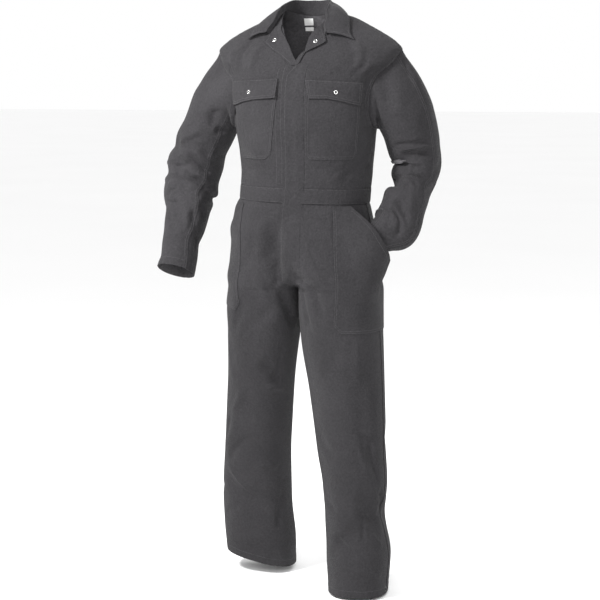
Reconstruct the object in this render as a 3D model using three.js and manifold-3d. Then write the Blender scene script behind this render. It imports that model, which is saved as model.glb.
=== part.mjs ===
// A boiler suit that keeps the shape of a wearer who isn't there: every panel is a cloth wall, cut as a maker
// cuts it. Millimetres. +x is the wearer's left, -y the front, +z up. Heights are taken from the floor under the
// hems, and the whole suit is then lowered so that the origin lies between the shoulder seams, where a wearer
// carries it.
import * as THREE from 'three';
import Module from 'manifold-3d';
import { mergeVertices } from 'three/addons/utils/BufferGeometryUtils.js';

const wasm = await Module();
wasm.setup();

// Driving dimensions.
const clothThickness = 2;
const seamGap = 0.3;
const layerGap = 0.35;
const originHeight = 1480;
const frontWaistSeam = 1069;
const waistbandHeight = 40;
const bodiceSeam = frontWaistSeam + waistbandHeight;
const crotchHeight = 832;
const placketHalfWidth = 27;
const armholeBottom = 1262;
const armholeTop = 1457;
const snapRadius = 5.5;
const snapHeight = 2.4;
const frontRowLevels = { vNeck: 1429, lapelTop: 1536, pocketLow: 1172, pocketHigh: 1395, flapLow: 1318 };
const upperRows = [1472, 1487, 1503, 1520, 1536, 1548, 1556];
const meanTrunkRadius = 190;
const meanLegRadius = 110;
const meanSleeveRadius = 60;

const degrees = Math.PI / 180;

// Level sections of the bodice and waistband. tilt lifts the wearer's left side, in degrees; rise lifts both sides.
const trunkSections = [
  { height: 1060, halfWidth: 176, front: 129, back: 118, x: -1, y: 0, tilt: -1.6, rise: 0, square: 2.3 },
  { height: 1109, halfWidth: 176, front: 131, back: 118, x: 3, y: 0, tilt: -1.2, rise: 0, square: 2.3 },
  { height: 1150, halfWidth: 177, front: 134, back: 121, x: 6, y: 0, tilt: -0.6, rise: 0, square: 2.3 },
  { height: 1200, halfWidth: 181, front: 137, back: 127, x: 6, y: 0, tilt: 0, rise: 0, square: 2.35 },
  { height: 1250, halfWidth: 187, front: 138, back: 132, x: 4, y: 0, tilt: 0, rise: 0, square: 2.4 },
  { height: 1300, halfWidth: 195, front: 136, back: 134, x: 3, y: 0, tilt: 0, rise: 0, square: 2.4 },
  { height: 1350, halfWidth: 204, front: 131, back: 133, x: 3, y: 0, tilt: 0, rise: 0, square: 2.4 },
  { height: 1400, halfWidth: 214, front: 122, back: 128, x: 4, y: 4, tilt: 0, rise: 1, square: 2.35 },
  { height: 1430, halfWidth: 238, front: 112, back: 121, x: 10, y: 7, tilt: 0, rise: 6, square: 2.3 },
  { height: 1455, halfWidth: 249, front: 98, back: 110, x: 11, y: 11, tilt: 0, rise: 13, square: 2.25 },
  { height: 1476, halfWidth: 231, front: 88, back: 101, x: 12, y: 15, tilt: 0, rise: 13, square: 2.2 },
  { height: 1497, halfWidth: 199, front: 80, back: 92, x: 12, y: 17, tilt: 0, rise: 13, square: 2.15 },
  { height: 1518, halfWidth: 159, front: 74, back: 84, x: 14, y: 18, tilt: 0, rise: 13, square: 2.1 },
  { height: 1539, halfWidth: 113, front: 69, back: 77, x: 18, y: 18, tilt: 0, rise: 13, square: 2.05 },
  { height: 1550, halfWidth: 80, front: 66, back: 73, x: 10, y: 18, tilt: 0, rise: 13, square: 2 },
  { height: 1560, halfWidth: 58, front: 62, back: 69, x: 2, y: 18, tilt: 0, rise: 13, square: 2 },
];

// Half sections of the trousers: a ring for each leg. centre is its distance from the midline, and where it is less
// than halfWidth the ring is cut at the midline, which leaves the crotch curve.
const leftLegSections = [
  { height: 1069, midline: -1, centre: 0, y: 0, halfWidth: 176, front: 129, back: 118, tilt: -1.6, square: 2.3 },
  { height: 1040, midline: -5, centre: 2, y: 0, halfWidth: 185, front: 131, back: 124, tilt: -1.6, square: 2.3 },
  { height: 1000, midline: -8, centre: 8, y: 0, halfWidth: 191, front: 131, back: 133, tilt: -1.4, square: 2.3 },
  { height: 950, midline: -9, centre: 26, y: 0, halfWidth: 182, front: 129, back: 139, tilt: -1.2, square: 2.3 },
  { height: 900, midline: -10, centre: 56, y: -2, halfWidth: 158, front: 127, back: 138, tilt: -1, square: 2.2 },
  { height: 860, midline: -10, centre: 88, y: -6, halfWidth: 129, front: 122, back: 130, tilt: -0.6, square: 2.4 },
  { height: 832, midline: -10, centre: 111, y: -9, halfWidth: 110.6, front: 116, back: 122, tilt: 0, square: 2.7 },
  { height: 780, midline: -10, centre: 113, y: -12, halfWidth: 110, front: 111, back: 114, tilt: 0, square: 2.6 },
  { height: 710, midline: -10, centre: 117, y: -14, halfWidth: 110, front: 104, back: 106, tilt: 0, square: 2.3 },
  { height: 560, midline: -5, centre: 127, y: -16, halfWidth: 102, front: 96, back: 98, tilt: 0, square: 2.1 },
  { height: 400, midline: 0, centre: 135, y: -16, halfWidth: 93, front: 90, back: 92, tilt: 0, square: 2.2 },
  { height: 300, midline: 0, centre: 145, y: -16, halfWidth: 87, front: 86, back: 88, tilt: 0, square: 2.2 },
  { height: 215, midline: 0, centre: 146, y: -16, halfWidth: 81, front: 86, back: 88, tilt: 0, square: 2.2 },
  { height: 110, midline: 0, centre: 156, y: -14, halfWidth: 87, front: 89, back: 86, tilt: 0, square: 2.2 },
  { height: 3, midline: 0, centre: 155, y: -12, halfWidth: 80, front: 88, back: 80, tilt: 0, square: 2.3 },
];
const rightLegSections = [
  { height: 1069, midline: -1, centre: 0, y: 0, halfWidth: 176, front: 129, back: 118, tilt: -1.6, square: 2.3 },
  { height: 1040, midline: -5, centre: 2, y: 0, halfWidth: 183, front: 131, back: 124, tilt: -1.6, square: 2.3 },
  { height: 1000, midline: -8, centre: 8, y: 0, halfWidth: 183, front: 131, back: 133, tilt: -1.4, square: 2.3 },
  { height: 950, midline: -9, centre: 26, y: 2, halfWidth: 165, front: 128, back: 139, tilt: -1.2, square: 2.3 },
  { height: 900, midline: -10, centre: 56, y: 6, halfWidth: 140, front: 126, back: 138, tilt: -1, square: 2.2 },
  { height: 860, midline: -10, centre: 84, y: 10, halfWidth: 117, front: 124, back: 130, tilt: -0.6, square: 2.4 },
  { height: 832, midline: -10, centre: 98.4, y: 12, halfWidth: 98, front: 121, back: 124, tilt: 0, square: 2.7 },
  { height: 780, midline: -10, centre: 104, y: 16, halfWidth: 101, front: 117, back: 118, tilt: 0, square: 2.6 },
  { height: 710, midline: -10, centre: 111, y: 24, halfWidth: 97, front: 113, back: 113, tilt: 0, square: 2.3 },
  { height: 560, midline: -5, centre: 134, y: 52, halfWidth: 92, front: 100, back: 101, tilt: 0, square: 2.1 },
  { height: 400, midline: 0, centre: 157, y: 86, halfWidth: 92, front: 92, back: 92, tilt: 0, square: 2.2 },
  { height: 265, midline: 0, centre: 169, y: 114, halfWidth: 97, front: 84, back: 84, tilt: -2, square: 2.2 },
  { height: 195, midline: 0, centre: 172, y: 127, halfWidth: 99, front: 82, back: 82, tilt: -4, square: 2.2 },
  { height: 110, midline: 0, centre: 169, y: 140, halfWidth: 102, front: 80, back: 78, tilt: -6, square: 2.3 },
  { height: 32, midline: 0, centre: 168, y: 150, halfWidth: 98, front: 78, back: 76, tilt: -12, square: 2.5 },
];

// Where the seam from the fly to the seat lies at each height, and how far to its sides the cloth follows it.
const crotchCurve = [
  { height: 832, front: 1.5, back: 1.5, reach: 12 },
  { height: 836, front: -32, back: 36, reach: 14 },
  { height: 842, front: -60, back: 66, reach: 18 },
  { height: 852, front: -84, back: 92, reach: 26 },
  { height: 868, front: -101, back: 110, reach: 36 },
  { height: 892, front: -113, back: 124, reach: 42 },
  { height: 930, front: -122, back: 133, reach: 42 },
  { height: 980, front: -127, back: 134, reach: 42 },
  { height: 1069, front: -129, back: 118, reach: 42 },
];
const sideSeamAngle = { left: 82, right: 100 };

// Sections of the sleeves along the arm: the middle of each section, its half width across the arm seen from the
// front, and half its depth through the arm.
const leftSleeveSections = [
  { along: 0, x: 222, y: 10, z: 1368, across: 102, through: 78, square: 2.1 },
  { along: 45, x: 246, y: 13, z: 1346, across: 86, through: 80, square: 2.1 },
  { along: 90, x: 264, y: 22, z: 1306, across: 79, through: 78, square: 2.1 },
  { along: 145, x: 279, y: 38, z: 1257, across: 73, through: 75, square: 2.1 },
  { along: 195, x: 287, y: 50, z: 1213, across: 70, through: 74, square: 2.1 },
  { along: 240, x: 297, y: 56, z: 1170, across: 62, through: 72, square: 2.1 },
  { along: 285, x: 286, y: 50, z: 1128, across: 62, through: 68, square: 2.1 },
  { along: 330, x: 284, y: 32, z: 1088, across: 49, through: 64, square: 2.1 },
  { along: 385, x: 268, y: 4, z: 1046, across: 59, through: 60, square: 2.1 },
  { along: 435, x: 253, y: -26, z: 1005, across: 65, through: 54, square: 2.1 },
  { along: 480, x: 227, y: -57, z: 985, across: 48, through: 34, square: 2.1 },
  { along: 515, x: 204, y: -79, z: 970, across: 36, through: 21, square: 2.1 },
  { along: 540, x: 192, y: -93, z: 960, across: 30, through: 17, square: 2.1 },
];
const rightSleeveSections = [
  { along: 0, x: -206, y: 10, z: 1360, across: 100, through: 78, square: 2.1 },
  { along: 45, x: -228, y: 10, z: 1344, across: 80, through: 79, square: 2.1 },
  { along: 90, x: -250, y: 13, z: 1306, across: 74, through: 77, square: 2.1 },
  { along: 145, x: -276, y: 18, z: 1253, across: 72, through: 75, square: 2.1 },
  { along: 195, x: -301, y: 22, z: 1209, across: 73, through: 74, square: 2.1 },
  { along: 240, x: -316, y: 25, z: 1165, across: 77, through: 72, square: 2.1 },
  { along: 290, x: -325, y: 22, z: 1121, across: 72, through: 69, square: 2.1 },
  { along: 340, x: -333, y: 8, z: 1078, across: 68, through: 64, square: 2.1 },
  { along: 385, x: -328, y: -12, z: 1036, across: 60, through: 59, square: 2.1 },
  { along: 435, x: -330, y: -35, z: 994, across: 56, through: 55, square: 2.1 },
  { along: 485, x: -334, y: -58, z: 952, across: 49, through: 51, square: 2.1 },
  { along: 530, x: -332, y: -78, z: 911, across: 49, through: 50, square: 2.1 },
  { along: 566, x: -336, y: -95, z: 878, across: 51, through: 49, square: 2.1 },
];
const sleeveSeams = { left: { front: 150, back: 390 }, right: { front: 135, back: 255 } };

// Neck edge of each front: the angle from the centre front at which the front ends, at each height.
const leftNeckEdge = [
  { height: 1430, angle: 0 },
  { height: 1460, angle: 0.6 },
  { height: 1487, angle: 1.8 },
  { height: 1512, angle: 6 },
  { height: 1522, angle: 10 },
  { height: 1536, angle: 20 },
  { height: 1548, angle: 36 },
  { height: 1556, angle: 62 },
];
const rightNeckEdge = [
  { height: 1430, angle: 0 },
  { height: 1450, angle: 3 },
  { height: 1470, angle: 6 },
  { height: 1487, angle: 9.5 },
  { height: 1510, angle: 17 },
  { height: 1521, angle: 22 },
  { height: 1537, angle: 36 },
  { height: 1549, angle: 52 },
  { height: 1556, angle: 66 },
];

// Reach of the armholes from the side of the trunk, in degrees, forwards and backwards.
const armholes = {
  left: [
    { height: 1262, front: 27, back: 26 },
    { height: 1350, front: 26, back: 25 },
    { height: 1410, front: 22, back: 20 },
    { height: 1457, front: 14, back: 12 },
  ],
  right: [
    { height: 1262, front: 33, back: 26 },
    { height: 1350, front: 35, back: 25 },
    { height: 1390, front: 30, back: 22 },
    { height: 1425, front: 12, back: 18 },
    { height: 1457, front: 8, back: 12 },
  ],
};

// The collar by the angle of its seam from the front: how far its fold stands over the seam and leans out from it,
// and where the edge of its fall lies over the trunk.
const collarSections = {
  left: [
    { turn: 16, rise: 5, lean: 3, edgeAngle: 36, edgeHeight: 1484, lift: 6 },
    { turn: 18, rise: 6, lean: 3, edgeAngle: 38, edgeHeight: 1500, lift: 6 },
    { turn: 25, rise: 9, lean: 4, edgeAngle: 45, edgeHeight: 1517, lift: 6 },
    { turn: 38, rise: 15, lean: 5, edgeAngle: 57, edgeHeight: 1533, lift: 6 },
    { turn: 62, rise: 18, lean: 4, edgeAngle: 75, edgeHeight: 1543, lift: 6 },
    { turn: 90, rise: 17, lean: 2, edgeAngle: 90, edgeHeight: 1546, lift: 5 },
    { turn: 135, rise: 33, lean: 3, edgeAngle: 135, edgeHeight: 1544, lift: 9 },
    { turn: 180, rise: 39, lean: 3, edgeAngle: 180, edgeHeight: 1546, lift: 9 },
  ],
  right: [
    { turn: 29, rise: 5, lean: 3, edgeAngle: 43, edgeHeight: 1484, lift: 6 },
    { turn: 33, rise: 6, lean: 3, edgeAngle: 49, edgeHeight: 1501, lift: 6 },
    { turn: 41, rise: 9, lean: 4, edgeAngle: 61, edgeHeight: 1520, lift: 6 },
    { turn: 53, rise: 13, lean: 4, edgeAngle: 75, edgeHeight: 1536, lift: 6 },
    { turn: 66, rise: 15, lean: 3, edgeAngle: 84, edgeHeight: 1546, lift: 5 },
    { turn: 90, rise: 16, lean: 1, edgeAngle: 90, edgeHeight: 1551, lift: 4.6 },
    { turn: 135, rise: 33, lean: 3, edgeAngle: 135, edgeHeight: 1544, lift: 9 },
    { turn: 180, rise: 39, lean: 3, edgeAngle: 180, edgeHeight: 1546, lift: 9 },
  ],
};

// The seam of the collar across the fronts, up to the neck edge.
const collarSeam = {
  left: [
    { height: 1500, angle: 16 },
    { height: 1520, angle: 18 },
    { height: 1536, angle: 24 },
    { height: 1548, angle: 37 },
    { height: 1556, angle: 62 },
  ],
  right: [
    { height: 1500, angle: 29 },
    { height: 1520, angle: 33 },
    { height: 1536, angle: 41 },
    { height: 1548, angle: 53 },
    { height: 1556, angle: 66 },
  ],
};
const collarFrontHeight = 1500;

// How far the left hip pocket stands off for the hand inside it: the share of the whole at each angle and height.
const handBulge = 66;
const handBulgeAround = [
  { angle: 28, share: 0 },
  { angle: 38, share: 0.12 },
  { angle: 48, share: 0.45 },
  { angle: 58, share: 0.86 },
  { angle: 66, share: 1 },
  { angle: 74, share: 0.92 },
  { angle: 79, share: 0.5 },
  { angle: 82, share: 0 },
];
const handBulgeUp = [
  { height: 805, share: 0 },
  { height: 830, share: 0.1 },
  { height: 860, share: 0.34 },
  { height: 900, share: 0.7 },
  { height: 945, share: 0.97 },
  { height: 990, share: 1 },
  { height: 1025, share: 0.75 },
  { height: 1052, share: 0.3 },
  { height: 1069, share: 0 },
];

// Smooth value of one column of a table at a place along its key column.
function read(table, key, name, at) {
  const last = table.length - 1;
  const rising = table[last][key] > table[0][key];
  const rows = rising ? table : [...table].reverse();
  if (at <= rows[0][key]) return rows[0][name];
  if (at >= rows[last][key]) return rows[last][name];
  let i = 0;
  while (rows[i + 1][key] < at) i += 1;
  const slope = (a, b) => (rows[b][name] - rows[a][name]) / (rows[b][key] - rows[a][key]);
  const slopeAt = (k) => {
    if (k === 0) return slope(0, 1);
    if (k === last) return slope(last - 1, last);
    const before = slope(k - 1, k);
    const after = slope(k, k + 1);
    return before * after <= 0 ? 0 : (2 * before * after) / (before + after);
  };
  const span = rows[i + 1][key] - rows[i][key];
  const t = (at - rows[i][key]) / span;
  const h1 = t * t * (3 - 2 * t);
  const h2 = t * (1 - t) * (1 - t) * span;
  const h3 = t * t * (t - 1) * span;
  return rows[i][name] * (1 - h1) + rows[i + 1][name] * h1 + h2 * slopeAt(i) + h3 * slopeAt(i + 1);
}

const signedPower = (value, power) => Math.sign(value) * Math.abs(value) ** power;
const smoothStep = (t) => {
  const u = Math.min(1, Math.max(0, t));
  return u * u * (3 - 2 * u);
};
const mix = (a, b, t) => a + (b - a) * t;
const steps = (from, to, count) => Array.from({ length: count + 1 }, (_, i) => mix(from, to, i / count));

// Folds: a soft trough (negative depth) or ridge between two places on a surface, each place an angle in degrees and a
// length in millimetres.
const trunkFolds = [
  { fromAngle: 55, fromLength: 1425, toAngle: 57, toLength: 1300, width: 17, depth: -6 },
  { fromAngle: -58, fromLength: 1430, toAngle: -56, toLength: 1390, width: 16, depth: -5 },
  { fromAngle: 36, fromLength: 1470, toAngle: 46, toLength: 1400, width: 18, depth: -4 },
  { fromAngle: -30, fromLength: 1140, toAngle: -75, toLength: 1235, width: 20, depth: -4 },
  { fromAngle: 35, fromLength: 1125, toAngle: 80, toLength: 1225, width: 20, depth: -5 },
  { fromAngle: 120, fromLength: 1170, toAngle: 160, toLength: 1290, width: 22, depth: -7 },
  { fromAngle: -120, fromLength: 1160, toAngle: -158, toLength: 1280, width: 22, depth: -7 },
  { fromAngle: 122, fromLength: 1300, toAngle: 138, toLength: 1420, width: 20, depth: -7 },
  { fromAngle: -122, fromLength: 1300, toAngle: -139, toLength: 1430, width: 20, depth: -7 },
];
const leftLegFolds = [
  { fromAngle: 30, fromLength: 640, toAngle: 36, toLength: 330, width: 28, depth: -6 },
  { fromAngle: 10, fromLength: 300, toAngle: 70, toLength: 190, width: 24, depth: -9 },
  { fromAngle: -50, fromLength: 120, toAngle: 30, toLength: 210, width: 22, depth: -7 },
  { fromAngle: 60, fromLength: 250, toAngle: 110, toLength: 200, width: 22, depth: -8 },
  { fromAngle: 150, fromLength: 740, toAngle: 215, toLength: 790, width: 24, depth: -8 },
  { fromAngle: 140, fromLength: 470, toAngle: 225, toLength: 440, width: 26, depth: -9 },
  { fromAngle: 150, fromLength: 250, toAngle: 220, toLength: 160, width: 26, depth: -9 },
];
const rightLegFolds = [
  { fromAngle: 12, fromLength: 1035, toAngle: 0, toLength: 895, width: 17, depth: -11 },
  { fromAngle: 2, fromLength: 925, toAngle: -32, toLength: 835, width: 15, depth: -11 },
  { fromAngle: -30, fromLength: 850, toAngle: -74, toLength: 720, width: 17, depth: -11 },
  { fromAngle: 62, fromLength: 300, toAngle: -35, toLength: 175, width: 24, depth: -10 },
  { fromAngle: 20, fromLength: 470, toAngle: 60, toLength: 340, width: 26, depth: 5 },
  { fromAngle: -10, fromLength: 640, toAngle: -60, toLength: 560, width: 22, depth: -6 },
  { fromAngle: 150, fromLength: 740, toAngle: 215, toLength: 790, width: 24, depth: -8 },
  { fromAngle: 140, fromLength: 480, toAngle: 225, toLength: 520, width: 26, depth: -9 },
  { fromAngle: 140, fromLength: 170, toAngle: 215, toLength: 250, width: 26, depth: -9 },
];
const leftSleeveFolds = [
  { fromAngle: 30, fromLength: 205, toAngle: 140, toLength: 214, width: 14, depth: -8 },
  { fromAngle: 80, fromLength: 246, toAngle: 200, toLength: 250, width: 16, depth: -9 },
  { fromAngle: 90, fromLength: 308, toAngle: 210, toLength: 304, width: 17, depth: -9 },
  { fromAngle: 115, fromLength: 372, toAngle: 215, toLength: 356, width: 17, depth: 13 },
  { fromAngle: 60, fromLength: 440, toAngle: 110, toLength: 370, width: 14, depth: -8 },
];
const rightSleeveFolds = [
  { fromAngle: 20, fromLength: 176, toAngle: 100, toLength: 262, width: 16, depth: -10 },
  { fromAngle: -40, fromLength: 205, toAngle: 60, toLength: 222, width: 15, depth: -8 },
  { fromAngle: 40, fromLength: 240, toAngle: 130, toLength: 328, width: 17, depth: -10 },
  { fromAngle: -60, fromLength: 296, toAngle: 40, toLength: 284, width: 15, depth: -7 },
  { fromAngle: 150, fromLength: 306, toAngle: 220, toLength: 322, width: 17, depth: 9 },
  { fromAngle: 60, fromLength: 370, toAngle: 90, toLength: 450, width: 17, depth: -6 },
];

// Height of all the folds of a table at one place; radius turns an angle into millimetres round the cloth.
function foldsAt(folds, radius, angle, length) {
  const turn = radius * degrees;
  let sum = 0;
  for (const fold of folds) {
    const runAround = (fold.toAngle - fold.fromAngle) * turn;
    const runAlong = fold.toLength - fold.fromLength;
    const reach = Math.hypot(runAround, runAlong);
    let away = angle - fold.fromAngle;
    away -= 360 * Math.round(away / 360 - (fold.toAngle - fold.fromAngle) / 720);
    const around = away * turn;
    const along = length - fold.fromLength;
    const share = (around * runAround + along * runAlong) / (reach * reach);
    const off = (around * runAlong - along * runAround) / reach;
    const past = Math.max(0, Math.abs(share - 0.5) * 2 - 0.35) / 0.65;
    if (past < 1) {
      const fade = (1 - past * past) ** 2;
      sum += fold.depth * fade * Math.exp(-((off / fold.width) ** 2));
    }
  }
  return sum;
}

// A surface gives the plain point at an angle in degrees and a length; the normal and the folds follow from it.
// calm scales the folds down where two panels meet.
function surfaceFrom(plain, folds, radius, turn, calm = () => 1) {
  const normal = (angle, length) => {
    const around = plain(angle + 0.5, length).sub(plain(angle - 0.5, length));
    const along = plain(angle, length + 1).sub(plain(angle, length - 1));
    return around.cross(along).multiplyScalar(turn).normalize();
  };
  const point = (angle, length) =>
    plain(angle, length)
      .addScaledVector(normal(angle, length), calm(angle, length) * foldsAt(folds, radius, angle, length));
  const foldedNormal = (angle, length) => {
    const around = point(angle + 1, length).sub(point(angle - 1, length));
    const along = point(angle, length + 2).sub(point(angle, length - 2));
    return around.cross(along).multiplyScalar(turn).normalize();
  };
  return { point, normal: foldedNormal, plain };
}

function trunkPlain(angle, height) {
  const get = (name) => read(trunkSections, 'height', name, height);
  const sine = Math.sin(angle * degrees);
  const cosine = Math.cos(angle * degrees);
  const power = 2 / get('square');
  const x = get('x') + get('halfWidth') * signedPower(sine, power);
  const y = get('y') - (cosine > 0 ? get('front') : get('back')) * signedPower(cosine, power);
  return new THREE.Vector3(x, y, height + x * Math.tan(get('tilt') * degrees) + get('rise') * sine * sine);
}
const trunk = surfaceFrom(trunkPlain, trunkFolds, 190, 1);

// The angle at which a trunk section is that far from the centre front.
function trunkAngle(distance, height) {
  const share = distance / read(trunkSections, 'height', 'halfWidth', height);
  return Math.asin(signedPower(share, read(trunkSections, 'height', 'square', height) / 2)) / degrees;
}

const legs = {
  left: { side: 1, sections: leftLegSections, folds: leftLegFolds },
  right: { side: -1, sections: rightLegSections, folds: rightLegFolds },
};

// The angle, back from the front, at which a leg's section meets the midline: -90 below the crotch.
function midlineAngle(sections, height) {
  const share = read(sections, 'height', 'centre', height) / read(sections, 'height', 'halfWidth', height);
  if (share >= 1 || height < crotchHeight) return -90;
  return -Math.asin(share ** (read(sections, 'height', 'square', height) / 2)) / degrees;
}

// Where a section's front or back lies at a distance from the midline.
function legDepth(sections, distance, height, isFront) {
  const get = (name) => read(sections, 'height', name, height);
  const share = Math.min(1, Math.abs(distance - get('centre')) / get('halfWidth'));
  const sine = share ** (get('square') / 2);
  const cosine = Math.sqrt(1 - sine * sine);
  return get('y') - (isFront ? get('front') : -get('back')) * cosine ** (2 / get('square'));
}

function legPlain(leg, angle, height) {
  const get = (name) => read(leg.sections, 'height', name, height);
  const power = 2 / get('square');
  const isFront = Math.cos(angle * degrees) > 0;
  const out = get('centre') + get('halfWidth') * signedPower(Math.sin(angle * degrees), power);
  const kept = height > crotchHeight ? Math.max(0, out) : out;
  const x = get('midline') + leg.side * (kept + seamGap / 2);
  const spread = read(crotchCurve, 'height', 'reach', height);
  const near = Math.exp(-((kept / spread) ** 2));
  const reach = isFront ? -get('front') : get('back');
  let y = get('y') + reach * Math.abs(Math.cos(angle * degrees)) ** power;
  if (height > crotchHeight) {
    const flat = spread * smoothStep((height - crotchHeight) / 20);
    const wanted = read(crotchCurve, 'height', isFront ? 'front' : 'back', height);
    const depth = (distance) => legDepth(leg.sections, distance, height, isFront);
    const fade = smoothStep(1.5 - kept / (2 * spread));
    y += (depth(Math.hypot(kept, flat)) - depth(kept)) * fade + (wanted - depth(flat)) * near;
  } else {
    y += (crotchCurve[0].front - get('y')) * near * smoothStep((height - crotchHeight + 60) / 60);
  }
  const tiltFrom = height > crotchHeight ? x : x - get('midline') - leg.side * get('centre');
  return new THREE.Vector3(x, y, height + tiltFrom * Math.tan(get('tilt') * degrees));
}
for (const leg of Object.values(legs)) {
  const plain = (angle, height) => legPlain(leg, angle, height);
  const calm = (angle, height) => {
    const out = (plain(angle, height).x - read(leg.sections, 'height', 'midline', height)) * leg.side;
    return height > crotchHeight - 40 ? 1 - Math.exp(-((out / 18) ** 2)) : 1;
  };
  leg.surface = surfaceFrom(plain, leg.folds, 110, leg.side, calm);
}

// The armhole: an oval on the trunk, from the underarm to the shoulder point. round is 0 at the top and 90 in front.
const armholeMiddle = (armholeBottom + armholeTop) / 2;
const armholeReach = (armholeTop - armholeBottom) / 2;
function armholeSpread(name, part, height) {
  const rise = Math.min(1, Math.abs(height - armholeMiddle) / armholeReach);
  return read(armholes[name], 'height', part, height) * Math.sqrt(1 - rise * rise);
}
function armholePoint(sleeve, round) {
  const height = armholeMiddle + armholeReach * Math.cos(round * degrees);
  const inFront = Math.sin(round * degrees) > 0;
  const spread = armholeSpread(sleeve.name, inFront ? 'front' : 'back', height) * (inFront ? -1 : 1);
  return trunkPlain(sleeve.side * (90 + spread), height);
}

function sleeveMiddle(sections, along) {
  return new THREE.Vector3(...['x', 'y', 'z'].map((axis) => read(sections, 'along', axis, along)));
}
const alongStep = 12;
function sleeveRing(sleeve, round, along) {
  const { side, sections } = sleeve;
  const get = (name) => read(sections, 'along', name, along);
  const before = sleeveMiddle(sections, Math.max(0, along - alongStep));
  const down = sleeveMiddle(sections, Math.max(0, along - alongStep) + 2 * alongStep).sub(before).normalize();
  const front = new THREE.Vector3(0, -1, 0).addScaledVector(down, down.y).normalize();
  const outer = side > 0 ? front.clone().cross(down) : down.clone().cross(front);
  const power = 2 / get('square');
  return sleeveMiddle(sections, along)
    .addScaledVector(outer, get('across') * signedPower(Math.cos(round * degrees), power))
    .addScaledVector(front, get('through') * signedPower(Math.sin(round * degrees), power));
}

// Near the armhole the rings grow out of the armhole itself.
const sleeveSetIn = 105;
function sleevePlain(sleeve, round, along) {
  const ring = sleeveRing(sleeve, round, along);
  const start = sleeveRing(sleeve, round, 0);
  const armhole = armholePoint(sleeve, round);
  return ring.addScaledVector(armhole.sub(start), 1 - smoothStep(along / sleeveSetIn));
}
const sleeves = {
  left: { name: 'left', side: 1, sections: leftSleeveSections, folds: leftSleeveFolds },
  right: { name: 'right', side: -1, sections: rightSleeveSections, folds: rightSleeveFolds },
};
for (const sleeve of Object.values(sleeves)) {
  const plain = (round, along) => sleevePlain(sleeve, round, along);
  sleeve.surface = surfaceFrom(plain, sleeve.folds, 70, sleeve.side);
}

// Rows of points with their normals: rows are lengths, and columns(length) gives the angles of one row.
function patch(surface, rows, columns) {
  return rows.map((length) => columns(length).map((angle) => ({
    point: surface.point(angle, length),
    normal: surface.normal(angle, length),
  })));
}

// A closed wall over a patch, between two distances from its surface, either of which may be a function of the row
// and column. turned says where a cell is split along its other diagonal.
function wall(rows, inner = -clothThickness, outer = 0, turned = () => false) {
  const distance = (value, i, j) => (typeof value === 'function' ? value(i, j) : value);
  const height = rows.length;
  const width = rows[0].length;
  const positions = [];
  for (const face of [outer, inner]) {
    rows.forEach((row, i) => row.forEach(({ point, normal }, j) => {
      positions.push(...point.clone().addScaledVector(normal, distance(face, i, j)).toArray());
    }));
  }
  const at = (face, i, j) => face * height * width + i * width + j;
  const index = [];
  const quad = (a, b, c, d) => index.push(a, b, c, a, c, d);
  for (let i = 0; i + 1 < height; i += 1) {
    for (let j = 0; j + 1 < width; j += 1) {
      const ring = [[i, j], [i, j + 1], [i + 1, j + 1], [i + 1, j]];
      if (turned(i, j)) ring.push(ring.shift());
      const [a, b, c, d] = ring;
      quad(at(0, ...a), at(0, ...b), at(0, ...c), at(0, ...d));
      quad(at(1, ...a), at(1, ...d), at(1, ...c), at(1, ...b));
    }
  }
  for (let i = 0; i + 1 < height; i += 1) {
    quad(at(0, i, 0), at(0, i + 1, 0), at(1, i + 1, 0), at(1, i, 0));
    quad(at(0, i, width - 1), at(1, i, width - 1), at(1, i + 1, width - 1), at(0, i + 1, width - 1));
  }
  for (let j = 0; j + 1 < width; j += 1) {
    quad(at(0, 0, j), at(1, 0, j), at(1, 0, j + 1), at(0, 0, j + 1));
    quad(at(0, height - 1, j), at(0, height - 1, j + 1), at(1, height - 1, j + 1), at(1, height - 1, j));
  }
  const geometry = new THREE.BufferGeometry();
  geometry.setAttribute('position', new THREE.Float32BufferAttribute(positions, 3));
  geometry.setIndex(index);
  return signedVolume(geometry) < 0 ? turnedOut(geometry) : geometry;
}

function signedVolume(geometry) {
  const p = geometry.getAttribute('position');
  const [a, b, c] = [new THREE.Vector3(), new THREE.Vector3(), new THREE.Vector3()];
  let sum = 0;
  for (let i = 0; i < geometry.index.count; i += 3) {
    a.fromBufferAttribute(p, geometry.index.getX(i));
    b.fromBufferAttribute(p, geometry.index.getX(i + 1));
    c.fromBufferAttribute(p, geometry.index.getX(i + 2));
    sum += a.dot(b.cross(c)) / 6;
  }
  return sum;
}

function turnedOut(geometry) {
  const order = Array.from(geometry.index.array);
  for (let i = 0; i < order.length; i += 3) [order[i + 1], order[i + 2]] = [order[i + 2], order[i + 1]];
  return geometry.setIndex(order);
}

const fabric = new THREE.MeshStandardMaterial({ color: 0x504f52, roughness: 0.9, metalness: 0 });
const suit = new THREE.Group();
function add(name, geometry, material = fabric) {
  const mesh = new THREE.Mesh(geometry, material);
  mesh.name = name;
  suit.add(mesh);
}

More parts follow.
